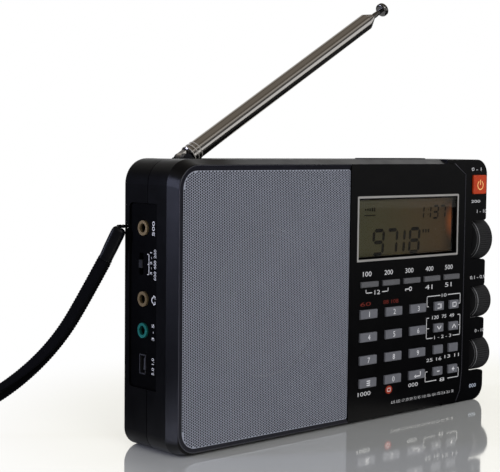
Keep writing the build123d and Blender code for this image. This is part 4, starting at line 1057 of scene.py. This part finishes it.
# ==== rings on the antenna's ferrule
ANTENNA_PIVOT = (-71.33 * MM, 7.7 * MM, 112.61 * MM)
ANTENNA_TILT = math.radians(30.4)
FERRULE_RADIUS = 3.8
FERRULE_RINGS = (3.2, 5.2, 7.1)  # from the pivot
RING_PROFILE = [(-0.22, -0.3), (-0.22, 0.03), (-0.1, 0.1), (0.1, 0.1), (0.22, 0.03), (0.22, -0.3)]
antenna_way = (math.cos(ANTENNA_TILT), 0, math.sin(ANTENNA_TILT))
for number, ring_at in enumerate(FERRULE_RINGS, 1):
    profile = [((ring_at + along) * MM, (FERRULE_RADIUS + out) * MM) for along, out in RING_PROFILE]
    points, faces = turned_shape(profile, ANTENNA_PIVOT, antenna_way, 64)
    mesh_piece(f"ferrule_ring_{number}", points, faces, ring_metal, "antenna_tube", "antenna_chrome")


# ==== marks on the left side
# they read upwards: local x is the height, local z the depth from front to back
SIDE_FIGURES = [
    ("500", 86.4, -1.5, 1.5, 5.6),
    ("3 - 2 - 1", 73.0, -0.1, 1.1, 8.6),
    ("600 400 200", 72.6, -2.6, 1.4, 11.8),
    ("3 - 5", 46.6, -1.5, 1.4, 6.4),
    ("5.0 1.0", 33.4, -1.5, 1.4, 6.6),
]
side = Marks((PANEL, 0, 0), (0, 0, 1), (0, 1, 0))
side.rows(SIDE_FIGURES)
side.path([(68.6, 2.1), (68.6, 1.2), (76.4, 1.2), (76.4, 2.1)], 0.3)
side.bar((72.5, 1.2), (72.5, 2.0), 0.3)
# headphone sign
side.arc((59.0, -1.8), 1.15, 0.42, -65, 245, 20)
side.bar((57.4, -1.6), (58.0, -2.9), 0.8)
side.bar((60.6, -1.6), (60.0, -2.9), 0.8)
side.piece("side_marks", white_print, slot="jack_panel_plastic")


# ==== screws with a cross recess
SCREW_PLACES = [(x * MM, z * MM) for x in (-84.5, -5.0, 78.0) for z in (8.5, 103.0)]
SCREW_BOTTOM, SCREW_SHOULDER, SCREW_TOP = 13.4 * MM, 14.55 * MM, 15.0 * MM
SCREW_RADIUS, SCREW_CROWN, SCREW_STEPS = 2.4 * MM, 0.86, 24
CROSS_ARM, CROSS_HALF, CROSS_DEPTH, CROSS_TAPER = 1.25 * MM, 0.3 * MM, 1.0 * MM, 0.8


def screw_mesh():
    """Pan heads with a cross cut into each, and the shanks that reach into the case."""
    rim = [(SCREW_RADIUS * math.cos(a), SCREW_RADIUS * math.sin(a)) for a in circle(SCREW_STEPS)]
    cross = [(CROSS_HALF, CROSS_HALF), (CROSS_HALF, CROSS_ARM), (-CROSS_HALF, CROSS_ARM)]
    while len(cross) < 12:  # each quarter is the one before it, turned
        cross.append((-cross[-3][1], cross[-3][0]))
    rings = [
        (rim, 1.0, SCREW_BOTTOM),
        (rim, 1.0, SCREW_SHOULDER),
        (rim, SCREW_CROWN, SCREW_TOP),
        (cross, 1.0, SCREW_TOP),
        (cross, CROSS_TAPER, SCREW_TOP - CROSS_DEPTH),
    ]
    points, faces = [], []
    for x, z in SCREW_PLACES:
        start = len(points)
        for ring, share, y in rings:
            points.extend((x + a * share, y, z + b * share) for a, b in ring)
        crown, cut = start + 2 * SCREW_STEPS, start + 3 * SCREW_STEPS
        faces += moved_on(skin(3, SCREW_STEPS)[:-1], start)
        order = [*range(crown, cut), *range(cut, cut + 12)]
        flat = [Vector((points[i][0], points[i][2], 0)) for i in order]
        for triangle in tessellate_polygon([flat[:SCREW_STEPS], flat[SCREW_STEPS:]]):
            a, b, c = (flat[i] for i in triangle)
            face = tuple(order[i] for i in triangle)
            faces.append(face if (b - a).cross(c - a).z < 0 else face[::-1])
        faces += moved_on(skin(2, 12, flipped=True)[:12], cut)
        faces.append(tuple(cut + 12 + k for k in reversed(range(12))))
    return points, faces


screws = mesh_piece("cross_head_screws", *screw_mesh(), steel, "case", "black_steel")
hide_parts("case_screws")


# ==== floor
def flat_piece(name, corners, height, finish):
    """A flat sheet on the floor, with corners in metres."""
    mesh = bpy.data.meshes.new(name)
    mesh.from_pydata([(x, y, 0) for x, y in corners], [], [tuple(range(len(corners)))])
    mesh.materials.append(finish)
    piece = bpy.data.objects.new(name, mesh)
    scene.collection.objects.link(piece)
    piece.location = (0, 0, height)
    return piece


def floor_material():
    """Polished: a mirror at a low angle, plain white from above and, to the camera, far away."""
    made, tree = new_material("polished_floor")
    tree.nodes.clear()
    matt = node_of(tree, "BsdfDiffuse", {"Color": (0.97, 0.97, 0.95, 1)}).outputs[0]
    gloss = node_of(tree, "BsdfGlossy", {"Roughness": 0.06, "Color": (1, 0.98, 0.9, 1)}).outputs[0]
    slope = node_of(tree, "LayerWeight", {}).outputs["Facing"]
    near = mixed(tree, ramped(tree, slope, 0.45, 0.74, 0.1, 0.71), matt, gloss)
    place, _ = place_in(tree)
    away = ramped(tree, distance(tree, place, (0.03, -0.04, 0)), 0.13, 0.235, 0, 1)
    away = joined(tree, "MULTIPLY", away, node_of(tree, "LightPath", {}).outputs["Is Camera Ray"])
    white = node_of(tree, "Emission", {}).outputs[0]
    node_of(tree, "OutputMaterial", {"Surface": mixed(tree, away, near, white)})
    return made


def card_material():
    """Black from above, and clear from below."""
    made, tree = new_material("black_card")
    tree.nodes.clear()
    black = node_of(tree, "BsdfDiffuse", {"Color": (0.03, 0.03, 0.03, 1)}).outputs[0]
    clear = node_of(tree, "BsdfTransparent", {}).outputs[0]
    below = node_of(tree, "NewGeometry", {}).outputs["Backfacing"]
    node_of(tree, "OutputMaterial", {"Surface": mixed(tree, below, black, clear)})
    return made


FLOOR_HEIGHT, CARD_HEIGHT = -0.05 * MM, -0.02 * MM
FRONT_CARD = [(-0.16, -0.20), (0.3, -1.6), (1.9, -1.2), (0.9, 0.45), (0.112, 0.02)]
SIDE_CARD = [(-0.115, 0.03), (-0.1, 0.3), (-0.1, 1.6), (-1.7, 1.3), (-1.5, 0.0)]
floor = flat_piece("floor", [(-6, -6), (6, -6), (6, 6), (-6, 6)], FLOOR_HEIGHT, floor_material())
# black cards on the floor, seen in reflections alone: they keep the case dark
card_finish = card_material()
front_card = flat_piece("front_card", FRONT_CARD, CARD_HEIGHT, card_finish)
side_card = flat_piece("side_card", SIDE_CARD, CARD_HEIGHT, card_finish)
for card in (front_card, side_card):
    for kind in ("camera", "diffuse", "shadow", "transmission"):
        setattr(card, "visible_" + kind, False)
